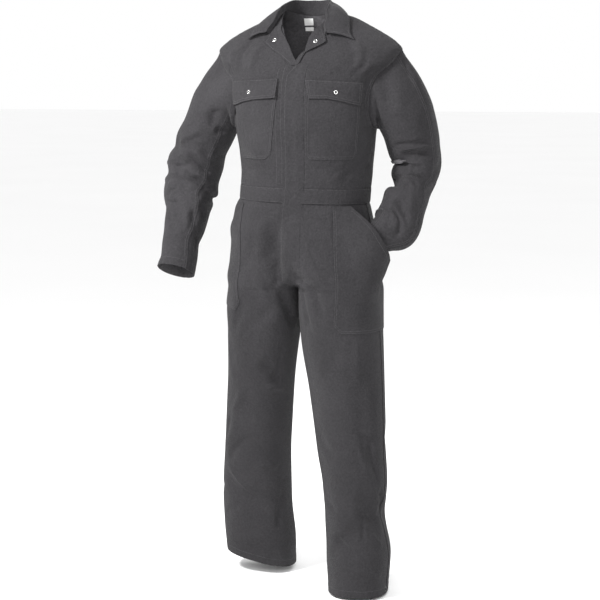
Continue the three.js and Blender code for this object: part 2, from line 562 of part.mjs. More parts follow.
// Bodice fronts. Their first columns stand at fixed distances from the edge, so that the placket can lie on them.
const sides = { left: 1, right: -1 };
const armholeTurns = steps(0, 180, 12);
const armholeHeight = (turn) => armholeMiddle + armholeReach * Math.cos(turn * degrees);
const armholeRows = armholeTurns.map(armholeHeight).reverse();
const trunkRows = [bodiceSeam + seamGap / 2, 1140, 1172, 1204, 1234, ...armholeRows, ...upperRows];
const rowAt = (height) => trunkRows.reduce((best, row, i) =>
  (Math.abs(row - height) < Math.abs(trunkRows[best] - height) ? i : best), 0);
const halfGapAngle = (seamGap / 2 / meanTrunkRadius) / degrees;
const neckEdges = { left: leftNeckEdge, right: rightNeckEdge };
const edgeSteps = [0, placketHalfWidth / 2, placketHalfWidth];
const vNeckHeight = trunkRows[rowAt(frontRowLevels.vNeck)];
function neckAngle(name, height) {
  return height > vNeckHeight ? read(neckEdges[name], 'height', 'angle', height) : 0;
}
function frontColumns(name, height) {
  const neck = neckAngle(name, height);
  const open = height > armholeBottom && height < armholeTop;
  const end = 90 - (open ? armholeSpread(name, 'front', height) : 0) - halfGapAngle;
  const reach = Math.min(1, (end - neck) / 50);
  const inner = edgeSteps.map((distance) => neck + trunkAngle(distance + seamGap / 2, height) * reach);
  return [...inner, ...steps(inner[2], end, 7).slice(1)].map((angle) => sides[name] * angle);
}
const bodice = {};
for (const name of Object.keys(sides)) {
  bodice[name] = patch(trunk, trunkRows, (height) => frontColumns(name, height));
  add(`front_${name}`, wall(bodice[name]));
}

// Bodice back, one piece from side seam to side seam.
const backRows = [...trunkRows.filter((height) => height < 1550), 1560];
function backColumns(height) {
  const open = height > armholeBottom && height < armholeTop;
  const reach = (name) => 90 + (open ? armholeSpread(name, 'back', height) : 0) + halfGapAngle;
  return steps(reach('left'), 360 - reach('right'), 14);
}
const backPatch = patch(trunk, backRows, backColumns);
add('back', wall(backPatch));

// Waistband in three pieces, closed at the centre front and joined at the sides.
const waistRows = [frontWaistSeam + seamGap / 2, bodiceSeam - seamGap / 2];
const waistband = {};
for (const [name, side] of Object.entries(sides)) {
  const columns = (height) => {
    const first = edgeSteps.map((distance) => trunkAngle(distance + seamGap / 2, height));
    return [...first, ...steps(first[2], 90 - halfGapAngle, 7).slice(1)].map((angle) => side * angle);
  };
  waistband[name] = patch(trunk, waistRows, columns);
  add(`waistband_${name}`, wall(waistband[name]));
}
const waistbandBackAngles = steps(90 + halfGapAngle, 270 - halfGapAngle, 16);
add('waistband_back', wall(patch(trunk, waistRows, () => waistbandBackAngles)));

// Trouser panels.
const legRows = [
  frontWaistSeam - seamGap / 2, 1044, 1018, 992, 966, 940, 914, 888, 866, 850, 840, crotchHeight,
  810, 775, 730, 680, 620, 560, 490, 410, 330, 265, 205, 145, 80,
];
function legAngleAt(sections, distance, height) {
  const get = (name) => read(sections, 'height', name, height);
  const start = Math.max(0, get('centre') - get('halfWidth'));
  const share = (start + distance - get('centre')) / get('halfWidth');
  return Math.asin(signedPower(Math.max(-1, Math.min(1, share)), get('square') / 2)) / degrees;
}
// Columns keep their angle outside the middle of the leg, in front and behind.
const frontMiddle = 8;
const legGap = (seamGap / 2 / meanLegRadius) / degrees;
for (const [name, leg] of Object.entries(legs)) {
  const hem = leg.sections[leg.sections.length - 1].height;
  const rows = [...legRows, hem];
  const seam = sideSeamAngle[name];
  const start = (height) => midlineAngle(leg.sections, height) + (height < crotchHeight + 1 ? legGap : 0);
  const frontColumnsAt = (height) => {
    const inner = edgeSteps.slice(1).map((distance) => legAngleAt(leg.sections, distance, height));
    const rest = steps(frontMiddle, seam - legGap, 7).slice(1);
    return [start(height), inner[0], ...steps(inner[1], frontMiddle, 3), ...rest];
  };
  leg.frontAngles = frontColumnsAt;
  leg.frontPatch = patch(leg.surface, rows, frontColumnsAt);
  add(`trouser_front_${name}`, wall(leg.frontPatch));
  const backColumnsAt = (height) => {
    const inner = steps(180, 180 - start(height), 5);
    return [...steps(seam + legGap, 180, 5), ...inner.slice(1)];
  };
  add(`trouser_back_${name}`, wall(patch(leg.surface, rows, backColumnsAt)));
}

// Sleeves, each a top and an under panel.
const sleeveGap = (seamGap / 2 / meanSleeveRadius) / degrees;
for (const [name, sleeve] of Object.entries(sleeves)) {
  const end = sleeve.sections[sleeve.sections.length - 1].along;
  const rows = [0.6, 18, 40, 68, 100, 135, 165, 190, 212, 234, 258, 284, 310, 335, 370, 405, 440, 475, 510];
  const between = (from, to) => steps(from, to, (to - from) / 15).map((turn) =>
    Math.min(to - sleeveGap, Math.max(from + sleeveGap, turn)));
  const { front, back } = sleeveSeams[name];
  const topColumns = between(back - 360, front);
  const underColumns = between(front, back);
  add(`sleeve_top_${name}`, wall(patch(sleeve.surface, [...rows, end], () => topColumns)));
  add(`sleeve_under_${name}`, wall(patch(sleeve.surface, [...rows, end], () => underColumns)));
}

// A prism through the suit: an outline in a plane that faces the front, turned by some degrees to the wearer's left,
// and reaching from that plane through the near half of the suit.
const prismDepth = 400;
function prism(outline, turn, depthFrom = -prismDepth) {
  const shape = new THREE.Shape(outline.map(([across, height]) => new THREE.Vector2(across, height)));
  const geometry = new THREE.ExtrudeGeometry(shape, { depth: prismDepth, bevelEnabled: false });
  const matrix = new THREE.Matrix4().makeRotationZ(turn * degrees)
    .multiply(new THREE.Matrix4().makeRotationX(Math.PI / 2))
    .multiply(new THREE.Matrix4().makeTranslation(0, 0, -depthFrom - prismDepth));
  return geometry.applyMatrix4(matrix);
}
function toSolid(geometry) {
  const bare = new THREE.BufferGeometry();
  bare.setAttribute('position', geometry.getAttribute('position').clone());
  if (geometry.index) bare.setIndex(geometry.index.clone());
  const merged = mergeVertices(bare, 1e-4);
  return new wasm.Manifold(new wasm.Mesh({
    numProp: 3,
    vertProperties: new Float32Array(merged.getAttribute('position').array),
    triVerts: new Uint32Array(merged.index.array),
  }));
}
function cut(geometry, outline, turn, depthFrom) {
  const mesh = toSolid(geometry).intersect(toSolid(prism(outline, turn, depthFrom))).getMesh();
  const result = new THREE.BufferGeometry();
  result.setAttribute('position', new THREE.Float32BufferAttribute(mesh.vertProperties, 3));
  result.setIndex(Array.from(mesh.triVerts));
  return result;
}

// A layer lies on part of a patch: its first row and column, its last ones, and how many layers lie under it.
const layerStep = clothThickness + layerGap;
function part(rows, fromRow, toRow, fromColumn, toColumn) {
  return rows.slice(fromRow, toRow + 1).map((row) => row.slice(fromColumn, toColumn + 1));
}
function layer(rows, under = 0, off = () => 0, turned = () => false) {
  const base = layerGap + under * layerStep;
  return wall(rows, (i, j) => base + off(i, j), (i, j) => base + clothThickness + off(i, j), turned);
}

// Placket from the neck to the crotch: one strip over both fronts, the waistband and the trousers.
const flyEnd = 850;
const flyRows = legRows.indexOf(flyEnd);
const across = (left, right, i) => [...right[i].slice(0, 3).reverse(), ...left[i].slice(0, 3)];
const placketRows = [
  ...legRows.slice(0, flyRows + 1).map((_, i) => across(legs.left.frontPatch, legs.right.frontPatch, i)).reverse(),
  ...waistRows.map((_, i) => across(waistband.left, waistband.right, i)),
  ...trunkRows.filter((height) => height <= vNeckHeight).map((_, i) => across(bodice.left, bodice.right, i)),
];
// Its cells are split as those of the panels under it, whose rows and columns run the other way here and there.
add('placket', layer(placketRows, 0, () => 0, (i, j) => (i < flyRows) === (j > 2)));

// Chest pockets and their flaps, outlines in the plane of the front.
const chestPocketOutline = {
  left: [[36, 1386], [176, 1386], [170, 1290], [160, 1196], [150, 1184], [50, 1184], [36, 1198]],
  right: [
    [-44, 1388], [-38, 1388], [-44, 1290], [-58, 1198], [-74, 1184], [-149, 1184], [-160, 1196], [-168, 1290],
    [-172, 1388],
  ],
};
const chestFlapOutline = {
  left: [[32, 1389], [176, 1382], [171, 1322], [125, 1335], [92, 1341], [44, 1341]],
  right: [[-41, 1393], [-44, 1343], [-80, 1340], [-110, 1338], [-174, 1323], [-176, 1386]],
};
for (const name of Object.keys(sides)) {
  const from = rowAt(frontRowLevels.pocketLow);
  const to = rowAt(frontRowLevels.pocketHigh);
  const area = part(bodice[name], from, to, 2, 9);
  add(`chest_pocket_${name}`, cut(layer(area), chestPocketOutline[name], 0));
  const top = part(bodice[name], rowAt(frontRowLevels.flapLow), to, 2, 9);
  add(`chest_flap_${name}`, cut(layer(top, 1), chestFlapOutline[name], 0));
}

// Hip pockets: the left one stands off for the hand, the right one lies flat.
const hipPockets = {
  left: {
    turn: 45,
    outline: [[-6, 1061], [42, 1061], [130, 922], [170, 900], [170, 727], [8, 727], [-13, 748], [-12, 850]],
    toHeight: 680,
    firstColumn: 4,
  },
  right: {
    turn: -45,
    outline: [[-40, 1068], [-118, 985], [-170, 960], [-170, 786], [-58, 786], [-42, 800], [-36, 880], [-30, 1068]],
    toHeight: 730,
    firstColumn: 4,
  },
};
for (const [name, pocket] of Object.entries(hipPockets)) {
  const leg = legs[name];
  const last = legRows.indexOf(pocket.toHeight);
  const area = part(leg.frontPatch, 0, last, pocket.firstColumn, 12);
  const off = (i, j) => {
    if (name === 'right') return 0;
    const angle = leg.frontAngles(legRows[i])[j + pocket.firstColumn];
    const shareAround = read(handBulgeAround, 'angle', 'share', angle);
    return handBulge * shareAround * read(handBulgeUp, 'height', 'share', legRows[i]);
  };
  add(`hip_pocket_${name}`, cut(layer(area, 0, off), pocket.outline, pocket.turn));
}

// Lapels, turned back from the neck edges.
const lapelOutline = {
  left: [[-25, 1432], [-3, 1447], [5, 1459], [74, 1487], [70, 1503], [60, 1530], [30, 1570], [-40, 1500]],
  right: [[25, 1440], [-30, 1570], [-66, 1548], [-76, 1530], [-88, 1499], [-95, 1488], [-18, 1430.5], [20, 1430.5]],
};
for (const name of Object.keys(sides)) {
  const area = part(bodice[name], rowAt(frontRowLevels.vNeck), rowAt(frontRowLevels.lapelTop), 0, 7);
  add(`lapel_${name}`, cut(layer(area), lapelOutline[name], 0));
}

// Collar: a stand and a fall in one, folded over round the neck.
function gridWall(points, thickness) {
  const rows = points.map((row, i) => row.map((point, j) => {
    const next = points[Math.min(points.length - 1, i + 1)][j];
    const before = points[Math.max(0, i - 1)][j];
    const right = row[Math.min(row.length - 1, j + 1)];
    const left = row[Math.max(0, j - 1)];
    const normal = right.clone().sub(left).cross(next.clone().sub(before)).normalize();
    return { point, normal };
  }));
  return wall(rows, -thickness / 2, thickness / 2);
}
const neckMiddle = new THREE.Vector3(0, 18, 0);
const foldHalf = 2.6;
const liftOverLapel = 4.5;
function collarStation(name, turn, seamHeight) {
  const side = sides[name];
  const get = (column) => read(collarSections[name], 'turn', column, turn);
  const lapelLift = liftOverLapel * Math.min(1, (turn - neckAngle(name, seamHeight)) / 4);
  const seam = trunk.plain(side * turn, seamHeight)
    .addScaledVector(trunk.normal(side * turn, seamHeight), turn < 80 ? lapelLift : 0);
  const out = seam.clone().sub(neckMiddle).setZ(0).normalize();
  const foot = seam.clone().addScaledVector(out, -1.2).add(new THREE.Vector3(0, 0, 0.6));
  const top = foot.clone().addScaledVector(out, get('lean')).add(new THREE.Vector3(0, 0, get('rise')));
  const edgeAngle = side * get('edgeAngle');
  const edge = trunk.plain(edgeAngle, get('edgeHeight'));
  edge.addScaledVector(trunk.normal(edgeAngle, get('edgeHeight')), get('lift'));
  const fallTop = top.clone().addScaledVector(out, 2 * foldHalf);
  const arc = [60, 120].map((angle) => top.clone()
    .addScaledVector(out, foldHalf * (1 - Math.cos(angle * degrees)))
    .add(new THREE.Vector3(0, 0, foldHalf * Math.sin(angle * degrees))));
  const bow = (share, amount) => fallTop.clone().lerp(edge, share)
    .addScaledVector(out, amount * 0.6).add(new THREE.Vector3(0, 0, amount));
  return [foot, foot.clone().lerp(top, 0.5), top, ...arc, fallTop, bow(0.33, 3), bow(0.67, 3), edge];
}
const neckRows = trunkRows.filter((height) => height >= collarFrontHeight);
const frontStations = (name) => neckRows.map((height) =>
  collarStation(name, read(collarSeam[name], 'height', 'angle', height), height));
const backTurns = steps(90, 270, 14).filter((turn) => turn > 80);
const backStations = backTurns.map((turn) =>
  (turn <= 180 ? collarStation('left', turn, 1560) : collarStation('right', 360 - turn, 1560)));
const collarStations = [...frontStations('left'), ...backStations, ...frontStations('right').reverse()];
add('collar', gridWall(collarStations, clothThickness));

// Where a line through the front meets a patch, and the slope of the facet there.
function seat(rows, x, z) {
  for (let i = 0; i + 1 < rows.length; i += 1) {
    for (let j = 0; j + 1 < rows[i].length; j += 1) {
      const cell = [rows[i][j], rows[i][j + 1], rows[i + 1][j + 1], rows[i + 1][j]];
      const [a, b, c, d] = cell.map((entry) => entry.point);
      for (const corners of [[a, b, c], [a, c, d]]) {
        const flat = corners.map((corner) => new THREE.Vector3(corner.x, corner.z, 0));
        const place = new THREE.Vector3(x, z, 0);
        const share = new THREE.Triangle(...flat).getBarycoord(place, new THREE.Vector3());
        if (share && Math.min(share.x, share.y, share.z) >= -1e-9) {
          const point = new THREE.Vector3();
          corners.forEach((corner, k) => point.addScaledVector(corner, share.getComponent(k)));
          const normal = new THREE.Triangle(...corners).getNormal(new THREE.Vector3());
          return { point, normal: normal.multiplyScalar(-Math.sign(normal.y) || 1) };
        }
      }
    }
  }
  throw new Error(`nothing to sit on at ${x}, ${z}`);
}

// Snaps: a low cap with a dimple, seated on the outermost layer.
const steel = new THREE.MeshStandardMaterial({ color: 0xb4b6b8, roughness: 0.3, metalness: 1 });
const snapProfile = [[0, 0], [1, 0], [1, 0.45], [0.86, 0.85], [0.6, 1], [0.3, 0.8], [0, 0.72]];
const snapOutline = snapProfile.map(([radius, height]) =>
  new THREE.Vector2(radius * snapRadius, height * snapHeight));
const snapPlaces = [
  { name: 'snap_flap_left', side: 'left', x: 114, height: 1358, layersUnder: 2 },
  { name: 'snap_flap_right', side: 'right', x: -122, height: 1358, layersUnder: 2 },
  { name: 'snap_lapel_left', side: 'left', x: 46, height: 1489, layersUnder: 1 },
  { name: 'snap_lapel_right', side: 'right', x: -66, height: 1493, layersUnder: 1 },
];
for (const { name, side, x, height, layersUnder } of snapPlaces) {
  const { point, normal } = seat(bodice[side], x, height);
  const geometry = new THREE.LatheGeometry(snapOutline, 12);
  const turn = new THREE.Quaternion().setFromUnitVectors(new THREE.Vector3(0, 1, 0), normal);
  geometry.applyQuaternion(turn);
  point.addScaledVector(normal, layerGap + layersUnder * layerStep + 0.1);
  geometry.translate(point.x, point.y, point.z);
  add(name, geometry, steel);
}

// Labels inside the back of the neck.
const white = new THREE.MeshStandardMaterial({ color: 0xe8e8e6, roughness: 0.8, metalness: 0 });
const labelThickness = 0.8;
const labelLowRow = 1503;
const labelOutline = {
  neck_label: [[-25, 1536], [-1, 1536], [-1, 1554], [-25, 1554]],
  size_label: [[-24, 1521], [-1, 1521], [-1, 1531], [-24, 1531]],
};
const labelArea = part(backPatch, backRows.indexOf(labelLowRow), backRows.length - 1, 5, 11);
const labelWall = wall(labelArea, -clothThickness - layerGap - labelThickness, -clothThickness - layerGap);
for (const [name, outline] of Object.entries(labelOutline)) add(name, cut(labelWall, outline, 0, 0), white);

suit.position.z = -originHeight;
export default suit;
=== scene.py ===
"""A worn boiler suit: cloth panels with creases and stitching, snaps, labels and a studio."""

import math

import bpy
import numpy as np
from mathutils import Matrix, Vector
from mathutils.bvhtree import BVHTree


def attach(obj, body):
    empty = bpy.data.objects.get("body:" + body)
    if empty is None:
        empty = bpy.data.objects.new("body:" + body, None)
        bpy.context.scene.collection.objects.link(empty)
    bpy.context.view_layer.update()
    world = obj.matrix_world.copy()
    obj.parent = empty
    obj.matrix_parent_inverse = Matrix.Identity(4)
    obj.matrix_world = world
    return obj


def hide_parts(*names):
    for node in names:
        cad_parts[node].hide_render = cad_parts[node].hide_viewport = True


bl_info = {
    "name": "Boiler suit",
    "version": (1, 0, 0),
    "blender": (4, 5, 0),
    "location": "3D View > Sidebar > Boiler suit",
    "description": "Builds a worn boiler suit with its creases, stitching and snaps, and a studio around it",
    "category": "Object",
}

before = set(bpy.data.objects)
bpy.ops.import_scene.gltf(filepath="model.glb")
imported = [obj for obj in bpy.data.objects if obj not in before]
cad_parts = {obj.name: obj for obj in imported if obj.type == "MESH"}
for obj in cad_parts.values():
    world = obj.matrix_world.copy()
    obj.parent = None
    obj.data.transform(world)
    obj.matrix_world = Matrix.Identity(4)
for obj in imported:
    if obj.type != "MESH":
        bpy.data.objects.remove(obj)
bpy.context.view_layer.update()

DEGREE = math.pi / 180
ORIGIN_HEIGHT = 1480
WAIST_SEAM = 1069
BODICE_SEAM = 1109
CROTCH = 832
SEAM_GAP = 0.3
ARMHOLE_BOTTOM = 1262
ARMHOLE_TOP = 1457
SLEEVE_SET_IN = 105
V_HEIGHT = 1428.4
SLEEVE_SEAMS = {"left": (150, 390), "right": (135, 255)}
SIDE_SEAM = {"left": 82, "right": 100}
SIDES = {"left": 1, "right": -1}
FRONT_MIDDLE = 8
LAYER_GAP = 0.4
LAYER_STEP = 2.35
HAND_BULGE = 66
TRUNK_RADIUS = 190
LEG_RADIUS = 110
SLEEVE_RADIUS = 70
COLLAR_HEIGHT = 1560
PLACKET_HALF = 27
PATCH_OFF = LAYER_GAP + 1.6
FLAP_OFF = LAYER_GAP + LAYER_STEP + 1.8
LAPEL_OFF = LAYER_GAP + 1.8
WHOLE_EDGE = (-1e9, 1e9)
CAMERA_PLACE = (1.1257, -4.2536, 1.4)
CAMERA_TURN = 15
CAMERA_DROP = 7.8
CAMERA_ANGLE = 2 * math.atan(300 / 1637)
FLOOR_SIZE = 60
FLOOR_DROP = 0.004


class Table:
    """Rows of values in named columns, read smoothly along the first column."""

    def __init__(self, names, rows):
        self.names = names.split()
        self.rows = np.array(rows, dtype=float)

    def each(self):
        return [dict(zip(self.names, row)) for row in self.rows]

    def read(self, name, at):
        """The monotone cubic through a column's values."""
        rows = self.rows[np.argsort(self.rows[:, 0])]
        x, y = rows[:, 0], rows[:, self.names.index(name)]
        at = np.clip(at, x[0], x[-1])
        gaps = np.diff(x)
        slope = np.diff(y) / gaps
        before, after = slope[:-1], slope[1:]
        same = before * after > 0
        middle = np.where(same, 2 * before * after / np.where(same, before + after, 1), 0)
        tangent = np.concatenate([slope[:1], middle, slope[-1:]])
        i = np.clip(np.searchsorted(x, at, side="right") - 1, 0, len(x) - 2)
        t = (at - x[i]) / gaps[i]
        share = t * t * (3 - 2 * t)
        start = t * (1 - t) * (1 - t) * gaps[i]
        end = t * t * (t - 1) * gaps[i]
        return y[i] * (1 - share) + y[i + 1] * share + start * tangent[i] + end * tangent[i + 1]


TRUNK = Table("height halfWidth front back x y tilt rise square", [
    (1060, 176, 129, 118, -1, 0, -1.6, 0, 2.3),
    (1109, 176, 131, 118, 3, 0, -1.2, 0, 2.3),
    (1150, 177, 134, 121, 6, 0, -0.6, 0, 2.3),
    (1200, 181, 137, 127, 6, 0, 0, 0, 2.35),
    (1250, 187, 138, 132, 4, 0, 0, 0, 2.4),
    (1300, 195, 136, 134, 3, 0, 0, 0, 2.4),
    (1350, 204, 131, 133, 3, 0, 0, 0, 2.4),
    (1400, 214, 122, 128, 4, 4, 0, 1, 2.35),
    (1430, 238, 112, 121, 10, 7, 0, 6, 2.3),
    (1455, 249, 98, 110, 11, 11, 0, 13, 2.25),
    (1476, 231, 88, 101, 12, 15, 0, 13, 2.2),
    (1497, 199, 80, 92, 12, 17, 0, 13, 2.15),
    (1518, 159, 74, 84, 14, 18, 0, 13, 2.1),
    (1539, 113, 69, 77, 18, 18, 0, 13, 2.05),
    (1550, 80, 66, 73, 10, 18, 0, 13, 2),
    (1560, 58, 62, 69, 2, 18, 0, 13, 2),
])
LEFT_LEG = Table("height midline centre y halfWidth front back tilt square", [
    (1069, -1, 0, 0, 176, 129, 118, -1.6, 2.3),
    (1040, -5, 2, 0, 185, 131, 124, -1.6, 2.3),
    (1000, -8, 8, 0, 191, 131, 133, -1.4, 2.3),
    (950, -9, 26, 0, 182, 129, 139, -1.2, 2.3),
    (900, -10, 56, -2, 158, 127, 138, -1, 2.2),
    (860, -10, 88, -6, 129, 122, 130, -0.6, 2.4),
    (832, -10, 111, -9, 110.6, 116, 122, 0, 2.7),
    (780, -10, 113, -12, 110, 111, 114, 0, 2.6),
    (710, -10, 117, -14, 110, 104, 106, 0, 2.3),
    (560, -5, 127, -16, 102, 96, 98, 0, 2.1),
    (400, 0, 135, -16, 93, 90, 92, 0, 2.2),
    (300, 0, 145, -16, 87, 86, 88, 0, 2.2),
    (215, 0, 146, -16, 81, 86, 88, 0, 2.2),
    (110, 0, 156, -14, 87, 89, 86, 0, 2.2),
    (3, 0, 155, -12, 80, 88, 80, 0, 2.3),
])
RIGHT_LEG = Table("height midline centre y halfWidth front back tilt square", [
    (1069, -1, 0, 0, 176, 129, 118, -1.6, 2.3),
    (1040, -5, 2, 0, 183, 131, 124, -1.6, 2.3),
    (1000, -8, 8, 0, 183, 131, 133, -1.4, 2.3),
    (950, -9, 26, 2, 165, 128, 139, -1.2, 2.3),
    (900, -10, 56, 6, 140, 126, 138, -1, 2.2),
    (860, -10, 84, 10, 117, 124, 130, -0.6, 2.4),
    (832, -10, 98.4, 12, 98, 121, 124, 0, 2.7),
    (780, -10, 104, 16, 101, 117, 118, 0, 2.6),
    (710, -10, 111, 24, 97, 113, 113, 0, 2.3),
    (560, -5, 134, 52, 92, 100, 101, 0, 2.1),
    (400, 0, 157, 86, 92, 92, 92, 0, 2.2),
    (265, 0, 169, 114, 97, 84, 84, -2, 2.2),
    (195, 0, 172, 127, 99, 82, 82, -4, 2.2),
    (110, 0, 169, 140, 102, 80, 78, -6, 2.3),
    (32, 0, 168, 150, 98, 78, 76, -12, 2.5),
])
CROTCH_CURVE = Table("height front back reach", [
    (832, 1.5, 1.5, 12),
    (836, -32, 36, 14),
    (842, -60, 66, 18),
    (852, -84, 92, 26),
    (868, -101, 110, 36),
    (892, -113, 124, 42),
    (930, -122, 133, 42),
    (980, -127, 134, 42),
    (1069, -129, 118, 42),
])
LEFT_SLEEVE = Table("along x y z across through square", [
    (0, 222, 10, 1368, 102, 78, 2.1),
    (45, 246, 13, 1346, 86, 80, 2.1),
    (90, 264, 22, 1306, 79, 78, 2.1),
    (145, 279, 38, 1257, 73, 75, 2.1),
    (195, 287, 50, 1213, 70, 74, 2.1),
    (240, 297, 56, 1170, 62, 72, 2.1),
    (285, 286, 50, 1128, 62, 68, 2.1),
    (330, 284, 32, 1088, 49, 64, 2.1),
    (385, 268, 4, 1046, 59, 60, 2.1),
    (435, 253, -26, 1005, 65, 54, 2.1),
    (480, 227, -57, 985, 48, 34, 2.1),
    (515, 204, -79, 970, 36, 21, 2.1),
    (540, 192, -93, 960, 30, 17, 2.1),
])
RIGHT_SLEEVE = Table("along x y z across through square", [
    (0, -206, 10, 1360, 100, 78, 2.1),
    (45, -228, 10, 1344, 80, 79, 2.1),
    (90, -250, 13, 1306, 74, 77, 2.1),
    (145, -276, 18, 1253, 72, 75, 2.1),
    (195, -301, 22, 1209, 73, 74, 2.1),
    (240, -316, 25, 1165, 77, 72, 2.1),
    (290, -325, 22, 1121, 72, 69, 2.1),
    (340, -333, 8, 1078, 68, 64, 2.1),
    (385, -328, -12, 1036, 60, 59, 2.1),
    (435, -330, -35, 994, 56, 55, 2.1),
    (485, -334, -58, 952, 49, 51, 2.1),
    (530, -332, -78, 911, 49, 50, 2.1),
    (566, -336, -95, 878, 51, 49, 2.1),
])
LEFT_NECK = Table("height angle", [
    (1430, 0),
    (1445, 0.8),
    (1460, 1.4),
    (1487, 2.4),
    (1512, 6),
    (1522, 10),
    (1536, 20),
    (1548, 36),
    (1556, 62),
])
RIGHT_NECK = Table("height angle", [
    (1430, 0),
    (1450, 3),
    (1470, 6),
    (1487, 9.5),
    (1510, 17),
    (1521, 22),
    (1537, 36),
    (1549, 52),
    (1556, 66),
])
BULGE_AROUND = Table("angle share", [
    (28, 0),
    (38, 0.12),
    (48, 0.45),
    (58, 0.86),
    (66, 1),
    (74, 0.92),
    (79, 0.5),
    (82, 0),
])
BULGE_UP = Table("height share", [
    (805, 0),
    (830, 0.1),
    (860, 0.34),
    (900, 0.7),
    (945, 0.97),
    (990, 1),
    (1025, 0.75),
    (1052, 0.3),
    (1069, 0),
])
LEFT_ARMHOLE = Table("height front back", [
    (1262, 27, 26),
    (1350, 26, 25),
    (1410, 22, 20),
    (1457, 14, 12),
])
RIGHT_ARMHOLE = Table("height front back", [
    (1262, 33, 26),
    (1350, 35, 25),
    (1390, 30, 22),
    (1425, 12, 18),
    (1457, 8, 12),
])
LEFT_COLLAR = Table("turn rise lean edgeAngle edgeHeight lift", [
    (16, 5, 3, 36, 1484, 6),
    (18, 6, 3, 38, 1500, 6),
    (25, 9, 4, 45, 1517, 6),
    (38, 15, 5, 57, 1533, 6),
    (62, 18, 4, 75, 1543, 6),
    (90, 17, 2, 90, 1546, 5),
    (135, 33, 3, 135, 1544, 9),
    (180, 39, 3, 180, 1546, 9),
])
RIGHT_COLLAR = Table("turn rise lean edgeAngle edgeHeight lift", [
    (29, 5, 3, 43, 1484, 6),
    (33, 6, 3, 49, 1501, 6),
    (41, 9, 4, 61, 1520, 6),
    (53, 13, 4, 75, 1536, 6),
    (66, 15, 3, 84, 1546, 5),
    (90, 16, 1, 90, 1551, 4.6),
    (135, 33, 3, 135, 1544, 9),
    (180, 39, 3, 180, 1546, 9),
])
LEFT_COLLAR_SEAM = Table("height angle", [
    (1500, 16),
    (1520, 18),
    (1536, 24),
    (1548, 37),
    (1556, 62),
])
RIGHT_COLLAR_SEAM = Table("height angle", [
    (1500, 29),
    (1520, 33),
    (1536, 41),
    (1548, 53),
    (1556, 66),
])
TRUNK_FOLDS = Table("fromAngle fromLength toAngle toLength width depth", [
    (55, 1425, 57, 1300, 17, -6),
    (-58, 1430, -56, 1390, 16, -5),
    (36, 1470, 46, 1400, 18, -4),
    (-30, 1140, -75, 1235, 20, -4),
    (35, 1125, 80, 1225, 20, -5),
    (120, 1170, 160, 1290, 22, -7),
    (-120, 1160, -158, 1280, 22, -7),
    (122, 1300, 138, 1420, 20, -7),
    (-122, 1300, -139, 1430, 20, -7),
])
LEFT_LEG_FOLDS = Table("fromAngle fromLength toAngle toLength width depth", [
    (30, 640, 36, 330, 28, -6),
    (10, 300, 70, 190, 24, -9),
    (-50, 120, 30, 210, 22, -7),
    (60, 250, 110, 200, 22, -8),
    (150, 740, 215, 790, 24, -8),
    (140, 470, 225, 440, 26, -9),
    (150, 250, 220, 160, 26, -9),
])
RIGHT_LEG_FOLDS = Table("fromAngle fromLength toAngle toLength width depth", [
    (12, 1035, 0, 895, 17, -11),
    (2, 925, -32, 835, 15, -11),
    (-30, 850, -74, 720, 17, -11),
    (62, 300, -35, 175, 24, -10),
    (20, 470, 60, 340, 26, 5),
    (-10, 640, -60, 560, 22, -6),
    (150, 740, 215, 790, 24, -8),
    (140, 480, 225, 520, 26, -9),
    (140, 170, 215, 250, 26, -9),
])
LEFT_SLEEVE_FOLDS = Table("fromAngle fromLength toAngle toLength width depth", [
    (30, 205, 140, 214, 14, -8),
    (80, 246, 200, 250, 16, -9),
    (90, 308, 210, 304, 17, -9),
    (115, 372, 215, 356, 17, 13),
    (60, 440, 110, 370, 14, -8),
])
RIGHT_SLEEVE_FOLDS = Table("fromAngle fromLength toAngle toLength width depth", [
    (20, 176, 100, 262, 16, -10),
    (-40, 205, 60, 222, 15, -8),
    (40, 240, 130, 328, 17, -10),
    (-60, 296, 40, 284, 15, -7),
    (150, 306, 220, 322, 17, 9),
    (60, 370, 90, 450, 17, -6),
])

# Creases that the cloth shows besides its largest folds. Angles are degrees round the piece and lengths are
# millimetres up it, or down the arm; bow bends a crease to its side and steep makes one flank the narrower.
TRUNK_CREASES = Table("fromAngle fromLength toAngle toLength width depth bow steep", [
    (30, 1500, 36, 1405, 11, -4.2, 6, 0.4),
    (37, 1492, 41, 1415, 8, 3.4, 5, 0),
    (20, 1470, 23, 1400, 12, 2.1, 0, 0),
    (46, 1440, 58, 1300, 9, 3.1, -8, 0.3),
    (-27, 1490, -33, 1405, 10, 3.4, -5, 0.3),
    (-38, 1498, -44, 1400, 9, -3.9, -6, 0.4),
    (-48, 1470, -56, 1380, 8, 2.6, 4, 0),
    (-60, 1395, -64, 1270, 9, -4.2, -6, 0.3),
    (66, 1350, 62, 1240, 9, -3.6, 5, 0.3),
    (-34, 1310, -58, 1350, 16, 2.9, 6, 0),
    (-22, 1160, -48, 1215, 12, 2.9, 8, 0.2),
    (-35, 1130, -70, 1180, 9, -2.9, 6, 0.2),
    (14, 1180, 52, 1150, 12, -2.3, 8, 0.2),
    (24, 1125, 60, 1190, 9, 2.3, 6, 0.2),
    (8, 1260, 12, 1180, 12, -1.8, 3, 0),
    (60, 1130, 84, 1175, 8, -3.1, 4, 0.3),
    (100, 1125, 140, 1180, 12, -4.2, 8, 0.3),
    (118, 1230, 168, 1200, 13, -4.4, 10, 0.3),
    (-104, 1125, -146, 1172, 12, -3.9, -8, 0.3),
    (-122, 1222, -170, 1212, 12, -3.9, -9, 0.3),
    (150, 1330, 162, 1450, 14, 3.1, 6, 0),
    (-150, 1340, -160, 1455, 13, 3.1, -6, 0),
    (108, 1440, 128, 1310, 9, -4.2, 7, 0.4),
    (-110, 1440, -130, 1320, 9, -4.2, -7, 0.4),
    (176, 1280, 186, 1150, 16, -2.6, 5, 0),
])
